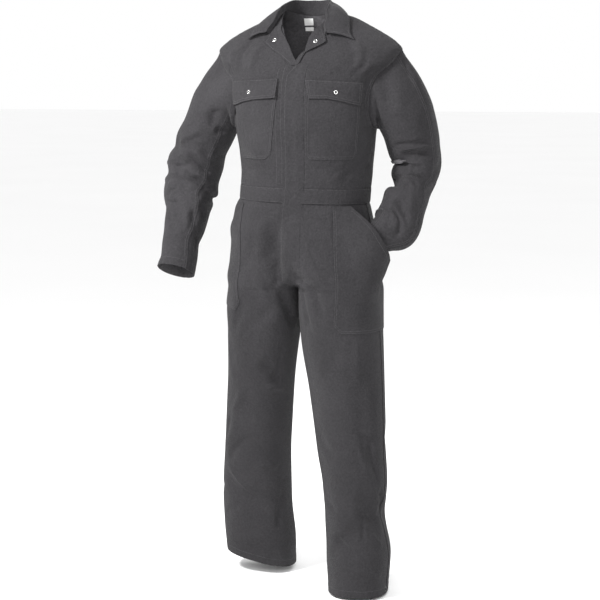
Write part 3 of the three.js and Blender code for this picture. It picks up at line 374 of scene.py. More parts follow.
LEFT_LEG_CREASES = Table("fromAngle fromLength toAngle toLength width depth bow steep", [
    (-34, 915, -6, 745, 12, -7.2, -9, 0.35),
    (-52, 890, -30, 700, 10, -5.2, -6, 0.3),
    (-20, 930, 0, 850, 9, 3.8, -4, 0),
    (-10, 1050, -4, 960, 10, -3.5, 3, 0),
    (-30, 780, -60, 640, 14, -4.3, 6, 0.2),
    (8, 700, -24, 600, 16, -3.5, -8, 0),
    (34, 720, 30, 560, 14, 3.2, 5, 0),
    (48, 455, 60, 310, 12, -6.7, 8, 0.4),
    (22, 458, 66, 430, 9, -4.3, 6, 0.3),
    (22, 445, 44, 330, 11, 4.3, 6, 0),
    (-52, 470, -10, 380, 16, -3.8, 7, 0),
    (60, 300, 84, 230, 10, -6.7, -6, 0.4),
    (14, 250, 52, 205, 9, -5.2, 5, 0.3),
    (28, 235, 20, 150, 10, -5.2, -5, 0.3),
    (40, 190, 66, 140, 9, 4.6, 5, 0),
    (-60, 290, -18, 240, 12, -4.9, 6, 0.3),
    (-34, 170, 12, 110, 12, -5.2, -6, 0.3),
    (30, 95, 62, 60, 11, 4.3, 4, 0),
    (96, 470, 128, 380, 14, -5.8, 8, 0.3),
    (110, 880, 150, 830, 16, -5.8, 8, 0.3),
    (196, 850, 240, 800, 14, -5.8, -8, 0.3),
    (130, 620, 190, 560, 18, -4.9, 9, 0.2),
    (148, 420, 206, 400, 12, -6.7, 8, 0.4),
    (146, 360, 214, 330, 12, -6.1, 8, 0.4),
    (160, 120, 226, 90, 12, -4.9, 6, 0.3),
])
RIGHT_LEG_CREASES = Table("fromAngle fromLength toAngle toLength width depth bow steep", [
    (9, 1015, -19, 860, 10, -7.5, -12, -0.3),
    (20, 1040, 10, 905, 9, 5.2, -5, 0),
    (12, 900, -22, 800, 8, 4.3, -5, 0),
    (28, 985, 30, 860, 14, -3.5, 5, 0),
    (8, 830, 42, 700, 18, -5.2, 8, 0.2),
    (-30, 800, 16, 690, 16, -4.3, -8, 0.2),
    (52, 690, 34, 560, 14, 3.5, -6, 0),
    (-52, 690, -36, 560, 12, -4.3, 5, 0.2),
    (-20, 560, -66, 545, 9, 3.8, 4, 0),
    (14, 560, 40, 470, 14, 5.2, 6, 0.2),
    (44, 480, 58, 390, 12, -4.9, 5, 0.2),
    (-8, 420, 44, 330, 12, -4.3, -7, 0.3),
    (50, 330, -22, 218, 8, 4.9, -6, 0.2),
    (-10, 330, -54, 318, 10, 3.5, 4, 0),
    (56, 262, 84, 232, 10, -4.3, 5, 0.2),
    (12, 205, 60, 160, 14, -3.8, 8, 0),
    (-62, 260, -40, 120, 10, -4.9, -4, 0.3),
    (-24, 130, 26, 84, 14, 3.2, 5, 0),
    (110, 870, 152, 820, 16, -5.8, 8, 0.3),
    (200, 860, 242, 790, 14, -5.8, -8, 0.3),
    (128, 640, 190, 600, 18, -4.9, 9, 0.2),
    (140, 430, 210, 452, 12, -6.7, 8, 0.4),
    (150, 370, 216, 395, 12, -5.8, 8, 0.4),
    (152, 90, 220, 130, 12, -4.9, 6, 0.3),
])
LEFT_SLEEVE_CREASES = Table("fromAngle fromLength toAngle toLength width depth bow steep", [
    (39, 9, 102, 91, 13, 4.5, -7, 0),
    (54, 8, 98, 56, 11, -4, -8, 0),
    (86, 17, 143, 86, 8, -6, 9, 0),
    (20, 20, 37, 51, 7, -5, 3, 0.3),
    (135, 164, 36, 181, 9, -5, -12, 0.3),
    (116, 180, 31, 194, 7, 5, -8, 0.2),
    (112, 200, 70, 187, 8, -6.5, -3, 0.3),
    (98, 220, 66, 207, 7, 3.6, -4, 0.2),
    (79, 203, 44, 221, 7, -3.5, -4, 0),
    (102, 284, 60, 290, 7, 4.4, -5, 0.2),
    (96, 258, 60, 250, 8, -4.5, -5, 0),
    (112, 304, 68, 320, 7, 4, -6, 0),
    (126, 312, 78, 334, 9, -4.5, 8, 0.3),
    (89, 302, 58, 333, 7, -4, 3, 0),
    (103, 402, 55, 470, 8, -8, 14, 0.3),
    (140, 399, 88, 424, 8, 5.5, -12, 0),
    (124, 417, 87, 486, 10, -2.5, 14, 0),
    (94, 352, 65, 416, 14, 2.5, -12, 0),
    (-14, 240, 40, 262, 9, -5, 5, 0.3),
    (-30, 300, 30, 345, 12, -4.8, 8, 0.2),
    (-70, 190, -20, 230, 12, -5.1, 6, 0.3),
    (190, 200, 250, 230, 10, -5.8, 6, 0.3),
    (200, 290, 262, 270, 10, 5.1, 6, 0),
])
RIGHT_SLEEVE_CREASES = Table("fromAngle fromLength toAngle toLength width depth bow steep", [
    (97, 67, 114, 120, 13, -8.5, -4, 0.2),
    (114, 120, 148, 109, 9, -7.5, -4, 0.3),
    (51, 204, 94, 127, 10, 6, -3, 0.4),
    (79, 201, 146, 270, 7.5, -8, 1, 0.2),
    (86, 191, 145, 239, 8, 4.5, 9, 0),
    (55, 217, 94, 235, 11, 5, 6, 0),
    (48, 262, 98, 235, 6, -4.5, -9, 0.2),
    (63, 275, 111, 339, 9, -6.5, -10, -0.3),
    (107, 278, 158, 334, 9, -5.5, -7, -0.3),
    (89, 266, 163, 311, 8, 5.5, 8, 0.2),
    (89, 332, 115, 377, 12, -4.5, -1, 0),
    (46, 327, 80, 355, 12, 4.5, 2, 0),
    (48, 357, 87, 338, 6, -4, -2, 0.2),
    (43, 370, 87, 383, 6, -3.5, -6, 0),
    (49, 402, 95, 485, 10, -6, -11, -0.3),
    (121, 403, 132, 448, 9, -5, 3, 0),
    (102, 401, 116, 466, 10, 4, 1, 0),
    (140, 385, 159, 427, 8, -4, 7, 0),
    (120, 147, 138, 217, 9, 3, 9, 0),
    (99, 163, 125, 210, 14, -2.5, 6, 0),
    (153, 458, 162, 529, 9, -3.5, 13, 0),
    (152, 365, 117, 389, 7, 3.5, 3, 0),
    (-10, 130, 24, 60, 14, 3.7, 6, 0),
    (-50, 262, 22, 262, 8, 5.1, 5, 0.2),
    (-44, 330, 24, 312, 9, 4.8, 4, 0.2),
    (-70, 380, -20, 450, 12, -4.4, 6, 0.2),
    (196, 220, 256, 250, 10, -5.8, 6, 0.3),
    (196, 380, 250, 350, 10, 5.1, 6, 0),
])

# How each kind of edge is sewn: how wide its strip is and how far it stands up, how far the edge sinks, how
# far ripples reach from it and how high they are, and where its stitch rows run.
EDGES = {
    "lap": {"strip": 9.5, "rise": 0.9, "sink": 0.0, "reach": 22, "ripple": 0.45, "rows": (2, 8)},
    "under": {"strip": 0, "rise": 0, "sink": 0.8, "reach": 20, "ripple": 0.4, "rows": ()},
    "set": {"strip": 0, "rise": 0, "sink": 1.0, "reach": 26, "ripple": 1.0, "rows": ()},
    "hem": {"strip": 22, "rise": 0.7, "sink": 0.0, "reach": 30, "ripple": 0.5, "rows": (20,)},
    "patch": {"strip": 0, "rise": 0, "sink": 0.5, "reach": 12, "ripple": 0.35, "rows": (1.8, 7.6)},
    "mouth": {"strip": 20, "rise": 0.5, "sink": 0.0, "reach": 12, "ripple": 0.3, "rows": (18,)},
    "turned": {"strip": 0, "rise": 0, "sink": 0.3, "reach": 12, "ripple": 0.3, "rows": (5.5,)},
    "band": {"strip": 0, "rise": 0, "sink": 0.9, "reach": 16, "ripple": 0.8, "rows": (2.2,)},
}


def signed_power(value, power):
    return np.sign(value) * np.abs(value) ** power


def smooth_step(t):
    t = np.clip(t, 0, 1)
    return t * t * (3 - 2 * t)


def unit(vectors):
    return vectors / np.maximum(np.linalg.norm(vectors, axis=-1, keepdims=True), 1e-9)


def stacked(x, y, z):
    return np.stack(np.broadcast_arrays(x, y, z), axis=-1).astype(float)


def relief(folds, radius, angle, length):
    """Height of a table's folds: soft troughs or ridges between two places of the cloth, bowed to a side."""
    turn = radius * DEGREE
    total = np.zeros(np.broadcast(angle, length).shape)
    for fold in folds.each():
        run_around = (fold["toAngle"] - fold["fromAngle"]) * turn
        run_along = fold["toLength"] - fold["fromLength"]
        reach = math.hypot(run_around, run_along)
        away = angle - fold["fromAngle"]
        away = away - 360 * np.round(away / 360 - (fold["toAngle"] - fold["fromAngle"]) / 720)
        around, along = away * turn, length - fold["fromLength"]
        share = (around * run_around + along * run_along) / reach**2
        off = (around * run_along - along * run_around) / reach
        off = off - fold.get("bow", 0) * (1 - (2 * share - 1) ** 2)
        width = fold["width"] * (1 + fold.get("steep", 0) * np.tanh(off / fold["width"]))
        past = np.clip((np.abs(share - 0.5) * 2 - 0.35) / 0.65, 0, 1)
        total += fold["depth"] * (1 - past**2) ** 2 * np.exp(-((off / width) ** 2))
    return total


def trunk_plain(angle, height):
    angle, height = np.broadcast_arrays(np.asarray(angle, float), np.asarray(height, float))
    sine, cosine = np.sin(angle * DEGREE), np.cos(angle * DEGREE)
    power = 2 / TRUNK.read("square", height)
    x = TRUNK.read("x", height) + TRUNK.read("halfWidth", height) * signed_power(sine, power)
    depth = np.where(cosine > 0, TRUNK.read("front", height), TRUNK.read("back", height))
    y = TRUNK.read("y", height) - depth * signed_power(cosine, power)
    lift = x * np.tan(TRUNK.read("tilt", height) * DEGREE) + TRUNK.read("rise", height) * sine**2
    return stacked(x, y, height + lift)


def trunk_angle(distance, height):
    """The angle at which the trunk is that far from its centre front."""
    share = distance / TRUNK.read("halfWidth", height)
    return np.arcsin(signed_power(share, TRUNK.read("square", height) / 2)) / DEGREE


def leg_depth(table, distance, height, in_front):
    share = np.minimum(1, np.abs(distance - table.read("centre", height)) / table.read("halfWidth", height))
    square = table.read("square", height)
    cosine = np.sqrt(1 - share**square)
    reach = np.where(in_front, -table.read("front", height), table.read("back", height))
    return table.read("y", height) + reach * cosine ** (2 / square)


def leg_plain(table, side, angle, height):
    angle, height = np.broadcast_arrays(np.asarray(angle, float), np.asarray(height, float))
    power = 2 / table.read("square", height)
    in_front = np.cos(angle * DEGREE) > 0
    across = signed_power(np.sin(angle * DEGREE), power)
    out = table.read("centre", height) + table.read("halfWidth", height) * across
    above = height > CROTCH
    kept = np.where(above, np.maximum(0, out), out)
    x = table.read("midline", height) + side * (kept + SEAM_GAP / 2)
    spread = CROTCH_CURVE.read("reach", height)
    near = np.exp(-((kept / spread) ** 2))
    reach = np.where(in_front, -table.read("front", height), table.read("back", height))
    y = table.read("y", height) + reach * np.abs(np.cos(angle * DEGREE)) ** power
    flat = spread * smooth_step((height - CROTCH) / 20)
    wanted = np.where(in_front, CROTCH_CURVE.read("front", height), CROTCH_CURVE.read("back", height))
    plain_depth = leg_depth(table, kept, height, in_front)
    bent = leg_depth(table, np.hypot(kept, flat), height, in_front) - plain_depth
    level = leg_depth(table, flat, height, in_front)
    fade = smooth_step(1.5 - kept / (2 * spread))
    inseam = (CROTCH_CURVE.rows[0][1] - table.read("y", height)) * near
    inseam = inseam * smooth_step((height - CROTCH + 60) / 60)
    y = y + np.where(above, bent * fade + (wanted - level) * near, inseam)
    tilt_from = np.where(above, x, x - table.read("midline", height) - side * table.read("centre", height))
    return stacked(x, y, height + tilt_from * np.tan(table.read("tilt", height) * DEGREE))


def midline_angle(table, height):
    """The angle at which a leg's section meets the midline: -90 below the crotch."""
    share = table.read("centre", height) / table.read("halfWidth", height)
    angle = -np.arcsin(np.minimum(1, share) ** (table.read("square", height) / 2)) / DEGREE
    return np.where((share >= 1) | (height < CROTCH), -90, angle)


def leg_angle(table, distance, height):
    """The angle at which a leg's front is that far out from where it starts."""
    centre, half = table.read("centre", height), table.read("halfWidth", height)
    share = np.clip((np.maximum(0, centre - half) + distance - centre) / half, -1, 1)
    return np.arcsin(signed_power(share, table.read("square", height) / 2)) / DEGREE


ARMHOLE_MIDDLE = (ARMHOLE_BOTTOM + ARMHOLE_TOP) / 2
ARMHOLE_REACH = (ARMHOLE_TOP - ARMHOLE_BOTTOM) / 2


def armhole_spread(table, part, height):
    rise = np.minimum(1, np.abs(height - ARMHOLE_MIDDLE) / ARMHOLE_REACH)
    return table.read(part, height) * np.sqrt(1 - rise**2)


def armhole_point(side, armhole, turn):
    height = ARMHOLE_MIDDLE + ARMHOLE_REACH * np.cos(turn * DEGREE)
    in_front = np.sin(turn * DEGREE) > 0
    front, back = armhole_spread(armhole, "front", height), armhole_spread(armhole, "back", height)
    return trunk_plain(side * (90 + np.where(in_front, -front, back)), height)


def sleeve_middle(table, along):
    return stacked(table.read("x", along), table.read("y", along), table.read("z", along))


def sleeve_ring(table, side, turn, along):
    before = np.maximum(0, along - 12)
    down = unit(sleeve_middle(table, before + 24) - sleeve_middle(table, before))
    front = unit(stacked(0, -1, 0) + down * down[..., 1:2])
    outer = side * np.cross(front, down)
    power = 2 / table.read("square", along)
    across = table.read("across", along) * signed_power(np.cos(turn * DEGREE), power)
    through = table.read("through", along) * signed_power(np.sin(turn * DEGREE), power)
    return sleeve_middle(table, along) + outer * across[..., None] + front * through[..., None]


def sleeve_plain(table, armhole, side, turn, along):
    turn, along = np.broadcast_arrays(np.asarray(turn, float), np.asarray(along, float))
    pull = armhole_point(side, armhole, turn) - sleeve_ring(table, side, turn, np.zeros_like(along))
    return sleeve_ring(table, side, turn, along) + pull * (1 - smooth_step(along / SLEEVE_SET_IN))[..., None]


class Surface:
    """A plain shape by angle and length, and the folds and creases on it, in millimetres."""

    def __init__(self, plain, reliefs, radius, side=1, calm=None):
        self.plain, self.reliefs, self.radius, self.side, self.calm = plain, reliefs, radius, side, calm

    def normal(self, angle, length):
        around = self.plain(angle + 0.5, length) - self.plain(angle - 0.5, length)
        along = self.plain(angle, length + 1) - self.plain(angle, length - 1)
        return unit(np.cross(around, along) * self.side)

    def point(self, angle, length):
        height = sum(relief(table, self.radius, angle, length) for table in self.reliefs)
        if self.calm:
            height = height * self.calm(angle, length)
        return self.plain(angle, length) + self.normal(angle, length) * height[..., None]

    def find(self, across, height, turn=0, start=0.0, off=None):
        """The angles and lengths of the points seen at places across and up, from a turned front."""
        across, height = np.broadcast_arrays(np.asarray(across, float), np.asarray(height, float))
        toward = np.array([math.cos(turn * DEGREE), math.sin(turn * DEGREE), 0])
        target = np.stack([across, height], axis=-1)

        def seen(place):
            point = self.plain(place[..., 0], place[..., 1])
            if off is not None:
                lift = off(place[..., 0], place[..., 1])
                point = point + self.normal(place[..., 0], place[..., 1]) * lift[..., None]
            return np.stack([point @ toward, point[..., 2]], axis=-1)

        place = np.stack([np.full(height.shape, float(start)), height], axis=-1)
        for _ in range(16):
            here = seen(place)
            by_angle = (seen(place + [0.2, 0]) - here) / 0.2
            by_length = (seen(place + [0, 0.5]) - here) / 0.5
            slopes = np.stack([by_angle, by_length], axis=-1)
            step = np.linalg.solve(slopes, (target - here)[..., None])[..., 0]
            place = place + np.clip(step, -12, 12)
        return place


def leg_surface(name, table, reliefs):
    side = SIDES[name]

    def calm(angle, height):
        out = (leg_plain(table, side, angle, height)[..., 0] - table.read("midline", height)) * side
        return np.where(height > CROTCH - 40, 1 - np.exp(-((out / 18) ** 2)), 1)

    return Surface(lambda *place: leg_plain(table, side, *place), reliefs, LEG_RADIUS, side, calm)


def sleeve_surface(name, table, armhole, reliefs):
    side = SIDES[name]
    return Surface(lambda *place: sleeve_plain(table, armhole, side, *place), reliefs, SLEEVE_RADIUS, side)


trunk = Surface(trunk_plain, [TRUNK_FOLDS, TRUNK_CREASES], TRUNK_RADIUS)
legs = {
    "left": leg_surface("left", LEFT_LEG, [LEFT_LEG_FOLDS, LEFT_LEG_CREASES]),
    "right": leg_surface("right", RIGHT_LEG, [RIGHT_LEG_FOLDS, RIGHT_LEG_CREASES]),
}
sleeves = {
    "left": sleeve_surface("left", LEFT_SLEEVE, LEFT_ARMHOLE, [LEFT_SLEEVE_FOLDS, LEFT_SLEEVE_CREASES]),
    "right": sleeve_surface("right", RIGHT_SLEEVE, RIGHT_ARMHOLE, [RIGHT_SLEEVE_FOLDS, RIGHT_SLEEVE_CREASES]),
}
LEG_TABLES = {"left": LEFT_LEG, "right": RIGHT_LEG}
SLEEVE_TABLES = {"left": LEFT_SLEEVE, "right": RIGHT_SLEEVE}
ARMHOLES = {"left": LEFT_ARMHOLE, "right": RIGHT_ARMHOLE}
NECKS = {"left": LEFT_NECK, "right": RIGHT_NECK}


def waves(along, phase=0.0):
    """Uneven ripples, as stitching draws them into cloth."""
    turns = 2 * math.pi * along
    middling, long = np.sin(turns / 12.7 + phase), np.sin(turns / 20.9 + 2 * phase)
    return 0.5 * middling + 0.3 * long + 0.2 * np.sin(turns / 7.9 + 1)


def grid_normals(points, like):
    normals = unit(np.cross(np.gradient(points, axis=1), np.gradient(points, axis=0)))
    return normals * np.where(np.sum(normals * like, axis=-1, keepdims=True) < 0, -1, 1)


class Panel:
    """A grid of points on a surface: rows run up the cloth, columns across it."""

    def __init__(self, points, normals, off=0.0):
        self.normals = grid_normals(points, normals)
        self.points = points + self.normals * off
        steps = np.linalg.norm(np.diff(self.points, axis=1), axis=-1)
        self.across = np.pad(np.cumsum(steps, axis=1), ((0, 0), (1, 0)))
        steps = np.linalg.norm(np.diff(self.points, axis=0), axis=-1)
        self.up = np.pad(np.cumsum(steps, axis=0), ((1, 0), (0, 0)))
        self.away = {
            "left": self.across,
            "right": self.across[:, -1:] - self.across,
            "low": self.up,
            "high": self.up[-1:] - self.up,
        }
        self.seams = []

    @classmethod
    def on(cls, surface, angles, lengths, off=0.0):
        angles, lengths = np.broadcast_arrays(angles, lengths)
        return cls(surface.point(angles, lengths), surface.normal(angles, lengths), off)

    def raised(self, height):
        self.points = self.points + self.normals * np.asarray(height)[..., None]
        self.normals = grid_normals(self.points, self.normals)

    def along(self, side):
        return self.up if side in ("left", "right") else self.across

    def window(self, side, low=WHOLE_EDGE[0], high=WHOLE_EDGE[1]):
        """How much of an edge's work shows, from 0 to 1, at each place between two lengths along the edge."""
        along = self.along(side)
        return smooth_step((along - low) / 8) * smooth_step((high - along) / 8)

    def pucker(self, side, rows, low, high, ripple):
        """Stitch rows inside the cloth, far from an edge, and the ripples that they draw."""
        height = np.zeros(self.up.shape)
        for row in rows:
            away = self.away[side] - row
            height += ripple * np.exp(-((away / 12) ** 2)) * waves(self.along(side), row)
            height -= 0.4 * np.exp(-((away / 1.4) ** 2))
            self.seams.append((side, row, low, high))
        self.raised(height * self.window(side, low, high))

    def finish(self, *edges):
        """Shape each named edge as it is sewn: its kind, and from where to where along the edge."""
        height = np.zeros(self.up.shape)
        for side, kind, *ends in edges:
            made = EDGES[kind]
            away = self.away[side]
            strip = smooth_step((made["strip"] - away) / 1.6 + 0.5) if made["strip"] else 0
            rise = made["rise"] * strip - made["sink"] * np.exp(-((away / 4) ** 2))
            ripple = made["ripple"] * np.exp(-((away / made["reach"]) ** 2))
            rise += ripple * waves(self.along(side), len(self.seams))
            for row in made["rows"]:
                rise -= 0.35 * np.exp(-(((away - row) / 1.3) ** 2))
                self.seams.append((side, row, *(ends or WHOLE_EDGE)))
            height += rise * (self.window(side, *ends) if ends else 1)
        self.raised(height)
        return self

    def line(self, side, distance, low, high, trim=3.0):
        """The points and normals of a line at a distance from one edge, short of the edges across it."""
        points, normals, away, along = self.points, self.normals, self.away[side], self.along(side)
        ends = ("low", "high") if side in ("left", "right") else ("left", "right")
        room = np.minimum(self.away[ends[0]], self.away[ends[1]])
        if side in ("low", "high"):
            points, normals = points.swapaxes(0, 1), normals.swapaxes(0, 1)
            away, along, room = away.T, along.T, room.T
        places = np.arange(away.shape[1])
        order = slice(None, None, -1) if side in ("right", "high") else slice(None)
        found, facing = [], []
        for k in range(away.shape[0]):
            at = np.interp(distance, away[k][order], places[order])
            j = min(int(at), len(places) - 2)
            t = at - j
            if away[k].max() > distance and room[k, j] >= trim and low <= along[k, j] <= high:
                found.append(points[k, j] * (1 - t) + points[k, j + 1] * t)
                facing.append(normals[k, j] * (1 - t) + normals[k, j + 1] * t)
        return np.array(found), np.array(facing)

    def stitch_lines(self):
        lines = [self.line(*seam, trim=max(2.0, min(seam[1], 9))) for seam in self.seams]
        return [line for line in lines if len(line[0]) > 1]


def spread(*stops):
    """Numbers from stop to stop: each stop is a value and the count of steps to the next one."""
    parts = [np.linspace(a, b, count + 1)[:-1] for (a, count), (b, _) in zip(stops, stops[1:])]
    return np.concatenate([*parts, [stops[-1][0]]])


def between(first, last, count):
    """Columns between two edges, each a value for every row."""
    share = np.linspace(0, 1, count + 1)
    return np.asarray(first)[:, None] * (1 - share) + np.asarray(last)[:, None] * share


def bodice_heights(top, rows):
    """The heights of the bodice's rows, closer together where the armholes curve."""
    low = np.arange(BODICE_SEAM + SEAM_GAP / 2, ARMHOLE_BOTTOM - 2, 4.4)
    around = ARMHOLE_MIDDLE - ARMHOLE_REACH * np.cos(np.linspace(0, math.pi, 51))
    return np.concatenate([low, around, np.linspace(ARMHOLE_TOP + 3, top, rows)])


def armhole_cut(name, part, heights):
    """How many degrees an armhole takes off the front or the back."""
    open_here = (heights > ARMHOLE_BOTTOM) & (heights < ARMHOLE_TOP)
    return np.where(open_here, armhole_spread(ARMHOLES[name], part, heights), 0)


def bodice_front(name):
    heights = bodice_heights(1556, 26)
    neck = np.where(heights > V_HEIGHT, NECKS[name].read("angle", heights), 0)
    end = 90 - armhole_cut(name, "front", heights) - 0.045
    reach = np.minimum(1, (end - neck) / 50)
    start = neck + trunk_angle(SEAM_GAP / 2, heights) * reach
    panel = Panel.on(trunk, between(start, end, 84) * SIDES[name], heights[:, None])
    inside = (30,) if name == "left" else (33, 48)
    panel.pucker("left", inside, 0, 318, 0.9 if name == "left" else 0.5)
    return panel.finish(("right", "lap"), ("low", "under"))


def bodice_back():
    heights = bodice_heights(COLLAR_HEIGHT, 27)
    reach = {name: 90.045 + armhole_cut(name, "back", heights) for name in SIDES}
    panel = Panel.on(trunk, between(reach["left"], 360 - reach["right"], 132), heights[:, None])
    return panel.finish(("left", "lap", 175, 370), ("right", "lap", 175, 370), ("low", "under"))


def waistband(first, last, columns):
    heights = np.linspace(WAIST_SEAM + SEAM_GAP / 2, BODICE_SEAM - SEAM_GAP / 2, 12)
    angles = np.linspace(first, last, columns + 1)[None, :]
    return Panel.on(trunk, angles, heights[:, None], 0.4).finish(("low", "band"), ("high", "band"))


def leg_rows(table):
    hem = table.rows[-1][0]
    return spread((hem, 160), (CROTCH - 0.5, 4), (CROTCH + 12, 56), (WAIST_SEAM - SEAM_GAP / 2, 1))


def leg_start(table, heights):
    return midline_angle(table, heights) + np.where(heights < CROTCH + 1, 0.08, 0)


def trouser_front(name):
    table, heights = LEG_TABLES[name], leg_rows(LEG_TABLES[name])
    middle = np.full(heights.shape, FRONT_MIDDLE)
    inner = between(leg_start(table, heights), middle, 36)[:, :-1]
    outer = between(middle, middle * 0 + SIDE_SEAM[name] - 0.08, 36)
    panel = Panel.on(legs[name], np.hstack([inner, outer]), heights[:, None])
    return panel.finish(("left", "lap", 0, 800), ("right", "under"), ("low", "hem"), ("high", "under"))


def trouser_back(name):
    table, heights = LEG_TABLES[name], leg_rows(LEG_TABLES[name])
    middle = np.full(heights.shape, 180.0)
    outer = between(middle * 0 + SIDE_SEAM[name] + 0.08, middle, 34)[:, :-1]
    inner = between(middle, 180 - leg_start(table, heights), 38)
    panel = Panel.on(legs[name], np.hstack([outer, inner]), heights[:, None])
    rise = ("right", "lap", 830, 1150) if name == "left" else ("right", "under")
    return panel.finish(("left", "lap"), rise, ("low", "hem"), ("high", "under"))


def sleeve(name, first, last, kind):
    table = SLEEVE_TABLES[name]
    lengths = np.linspace(0.6, table.rows[-1][0], 150)
    angles = np.linspace(first + 0.15, last - 0.15, round((last - first) * 0.34))[None, :]
    panel = Panel.on(sleeves[name], angles, lengths[:, None])
    return panel.finish(("left", kind), ("right", kind), ("low", "set"), ("high", "hem"))


def placket():
    """The strip over both fronts, the waistband and the fly: its free edge lies on the wearer's right."""
    away = np.linspace(0, PLACKET_HALF, 15)
    points, normals = [], []
    low = np.linspace(850, WAIST_SEAM, 52)[:, None]
    halves = []
    for name in SIDES:
        angles = leg_angle(LEG_TABLES[name], away + 0 * low, low)
        angles[:, 0] = leg_start(LEG_TABLES[name], low[:, 0])
        halves.append((legs[name].point(angles, low), legs[name].normal(angles, low)))
    for left, right in zip(halves[0], halves[1]):
        (points if not points else normals).append(np.concatenate([right[:, :0:-1], left], axis=1))
    high = np.concatenate([np.linspace(WAIST_SEAM + 4, V_HEIGHT, 82), [V_HEIGHT + 3]])[:, None]
    free = PLACKET_HALF - 21 * smooth_step((high - 1385) / 50) ** 1.6
    across = np.concatenate([-away[:0:-1], away])[None, :]
    across = across + (PLACKET_HALF - free) * (PLACKET_HALF - across) / (2 * PLACKET_HALF)
    angles = trunk_angle(across, high)
    points.append(trunk.point(angles, high + 0 * angles))
    normals.append(trunk.normal(angles, high + 0 * angles))
    stand = 2.6 - 2.0 * smooth_step((np.concatenate([-away[:0:-1], away]) - 4) / 22)
    panel = Panel(np.concatenate(points), np.concatenate(normals), 0.0)
    panel.raised(stand + 0 * panel.up)
    panel.stand = stand + 0 * panel.up - 0.3
    return panel.finish(("left", "turned"), ("low", "turned"))


def ruled(surface, low, high, rows, columns, off=0.0, turn=0, start=0.0, stand=None):
    """A panel between a lower and an upper outline, each a list of places across and up."""
    low, high = np.array(low, float), np.array(high, float)
    share, up, across = ruled_grid(low, high, rows, columns)
    places = surface.find(across[..., 0], across[..., 1], turn, start, stand)
    return ruled_panel(surface, places, share, up, off, stand)


def ruled_grid(low, high, rows, columns, scale=(1, 1)):
    """Places in straight lines from one outline to the other, with columns at every corner of both."""
    reach = sum(np.linalg.norm(np.diff(line * scale, axis=0), axis=1) for line in (low, high))
    knots = np.concatenate([[0], np.cumsum(reach)]) / np.sum(reach)
    share = np.sort(np.concatenate([np.linspace(0, 1, columns), knots[1:-1]]))
    edges = [np.stack([np.interp(share, knots, line[:, k]) for k in (0, 1)], axis=-1) for line in (low, high)]
    up = np.linspace(0, 1, rows)[:, None, None]
    return share, up[..., 0], edges[0][None] * (1 - up) + edges[1][None] * up


def ruled_panel(surface, places, share, up, off, stand=None):
    angles, lengths = places[..., 0], places[..., 1]
    panel = Panel.on(surface, angles, lengths, off)
    if stand is not None:
        normals = surface.normal(angles, lengths)
        points = surface.point(angles, lengths) + normals * stand(angles, lengths)[..., None]
        panel = Panel(points, normals, off)
    panel.share = np.broadcast_to(share, angles.shape), np.broadcast_to(up, angles.shape)
    return panel


CHEST_POCKETS = {
    "left": (
        [(36, 1198), (50, 1184), (150, 1184), (160, 1196)],
        [(36, 1386), (50, 1386), (165, 1386), (176, 1386)],
    ),
    "right": (
        [(-160, 1196), (-149, 1184), (-74, 1184), (-58, 1198)],
        [(-172, 1388), (-160, 1388), (-50, 1388), (-38, 1388)],
    ),
}
CHEST_FLAPS = {
    "left": (
        [(44, 1341), (92, 1341), (125, 1335), (171, 1322)],
        [(32, 1389), (85, 1387), (122, 1385), (176, 1382)],
    ),
    "right": (
        [(-174, 1323), (-110, 1338), (-80, 1340), (-44, 1343)],
        [(-176, 1386), (-112, 1389), (-80, 1390), (-41, 1393)],
    ),
}
SNAP_PLACES = {
    "flap_left": (114, 1358),
    "flap_right": (-122, 1358),
    "lapel_left": (46, 1489),
    "lapel_right": (-66, 1493),
}


def snap_dent(name, panel):
    """How near each point is to a snap: 1 at its middle, and little past its rim."""
    x, z = SNAP_PLACES[name]
    near = np.hypot(panel.points[..., 0] - x, panel.points[..., 2] - z)
    return np.exp(-((near / 11) ** 2))


def chest_pocket(name):
    panel = ruled(trunk, *CHEST_POCKETS[name], 52, 38, PATCH_OFF)
    return panel.finish(("left", "patch"), ("right", "patch"), ("low", "patch"))


def chest_flap(name):
    panel = ruled(trunk, *CHEST_FLAPS[name], 22, 44, FLAP_OFF)
    across, up = panel.share
    curl = 2.2 * (1 - up) ** 2
    if name == "right":
        curl = curl + 3.4 * (1 - up) * across**4
    panel.raised(curl - 1.5 * snap_dent(f"flap_{name}", panel))
    return panel.finish(("left", "patch"), ("right", "patch"), ("low", "patch"), ("high", "band"))


def bulge(angle, height):
    return HAND_BULGE * BULGE_AROUND.read("share", angle) * BULGE_UP.read("share", height)


def hip_pocket(name):
    if name == "left":
        low = [(-8, 748), (8, 727), (90, 727), (170, 727)]
        high = [(-6, 1061), (42, 1061), (130, 922), (166, 904)]
        panel = ruled(legs["left"], low, high, 76, 46, PATCH_OFF, 45, 35.0, bulge)
        return panel.finish(("left", "patch"), ("low", "patch"), ("high", "mouth", 48, 400))
    low = [(-170, 786), (-110, 786), (-58, 776), (-42, 795)]
    high = [(-166, 962), (-118, 985), (-46, 1064), (-38, 1064)]
    panel = ruled(legs["right"], low, high, 64, 34, PATCH_OFF, -45, 35.0)
    return panel.finish(("right", "patch"), ("low", "patch"), ("high", "mouth"))


LAPEL_OUTER = {
    "left": [(-3, 1429), (4, 1444), (14, 1459), (74, 1487), (70, 1503), (60, 1526)],
    "right": [(-8, 1426), (-50, 1457), (-95, 1488), (-88, 1499), (-76, 1526)],
}
LAPEL_NECK = {"left": [1429, 1440, 1450, 1478, 1500, 1528], "right": [1428, 1455, 1478, 1500, 1530]}


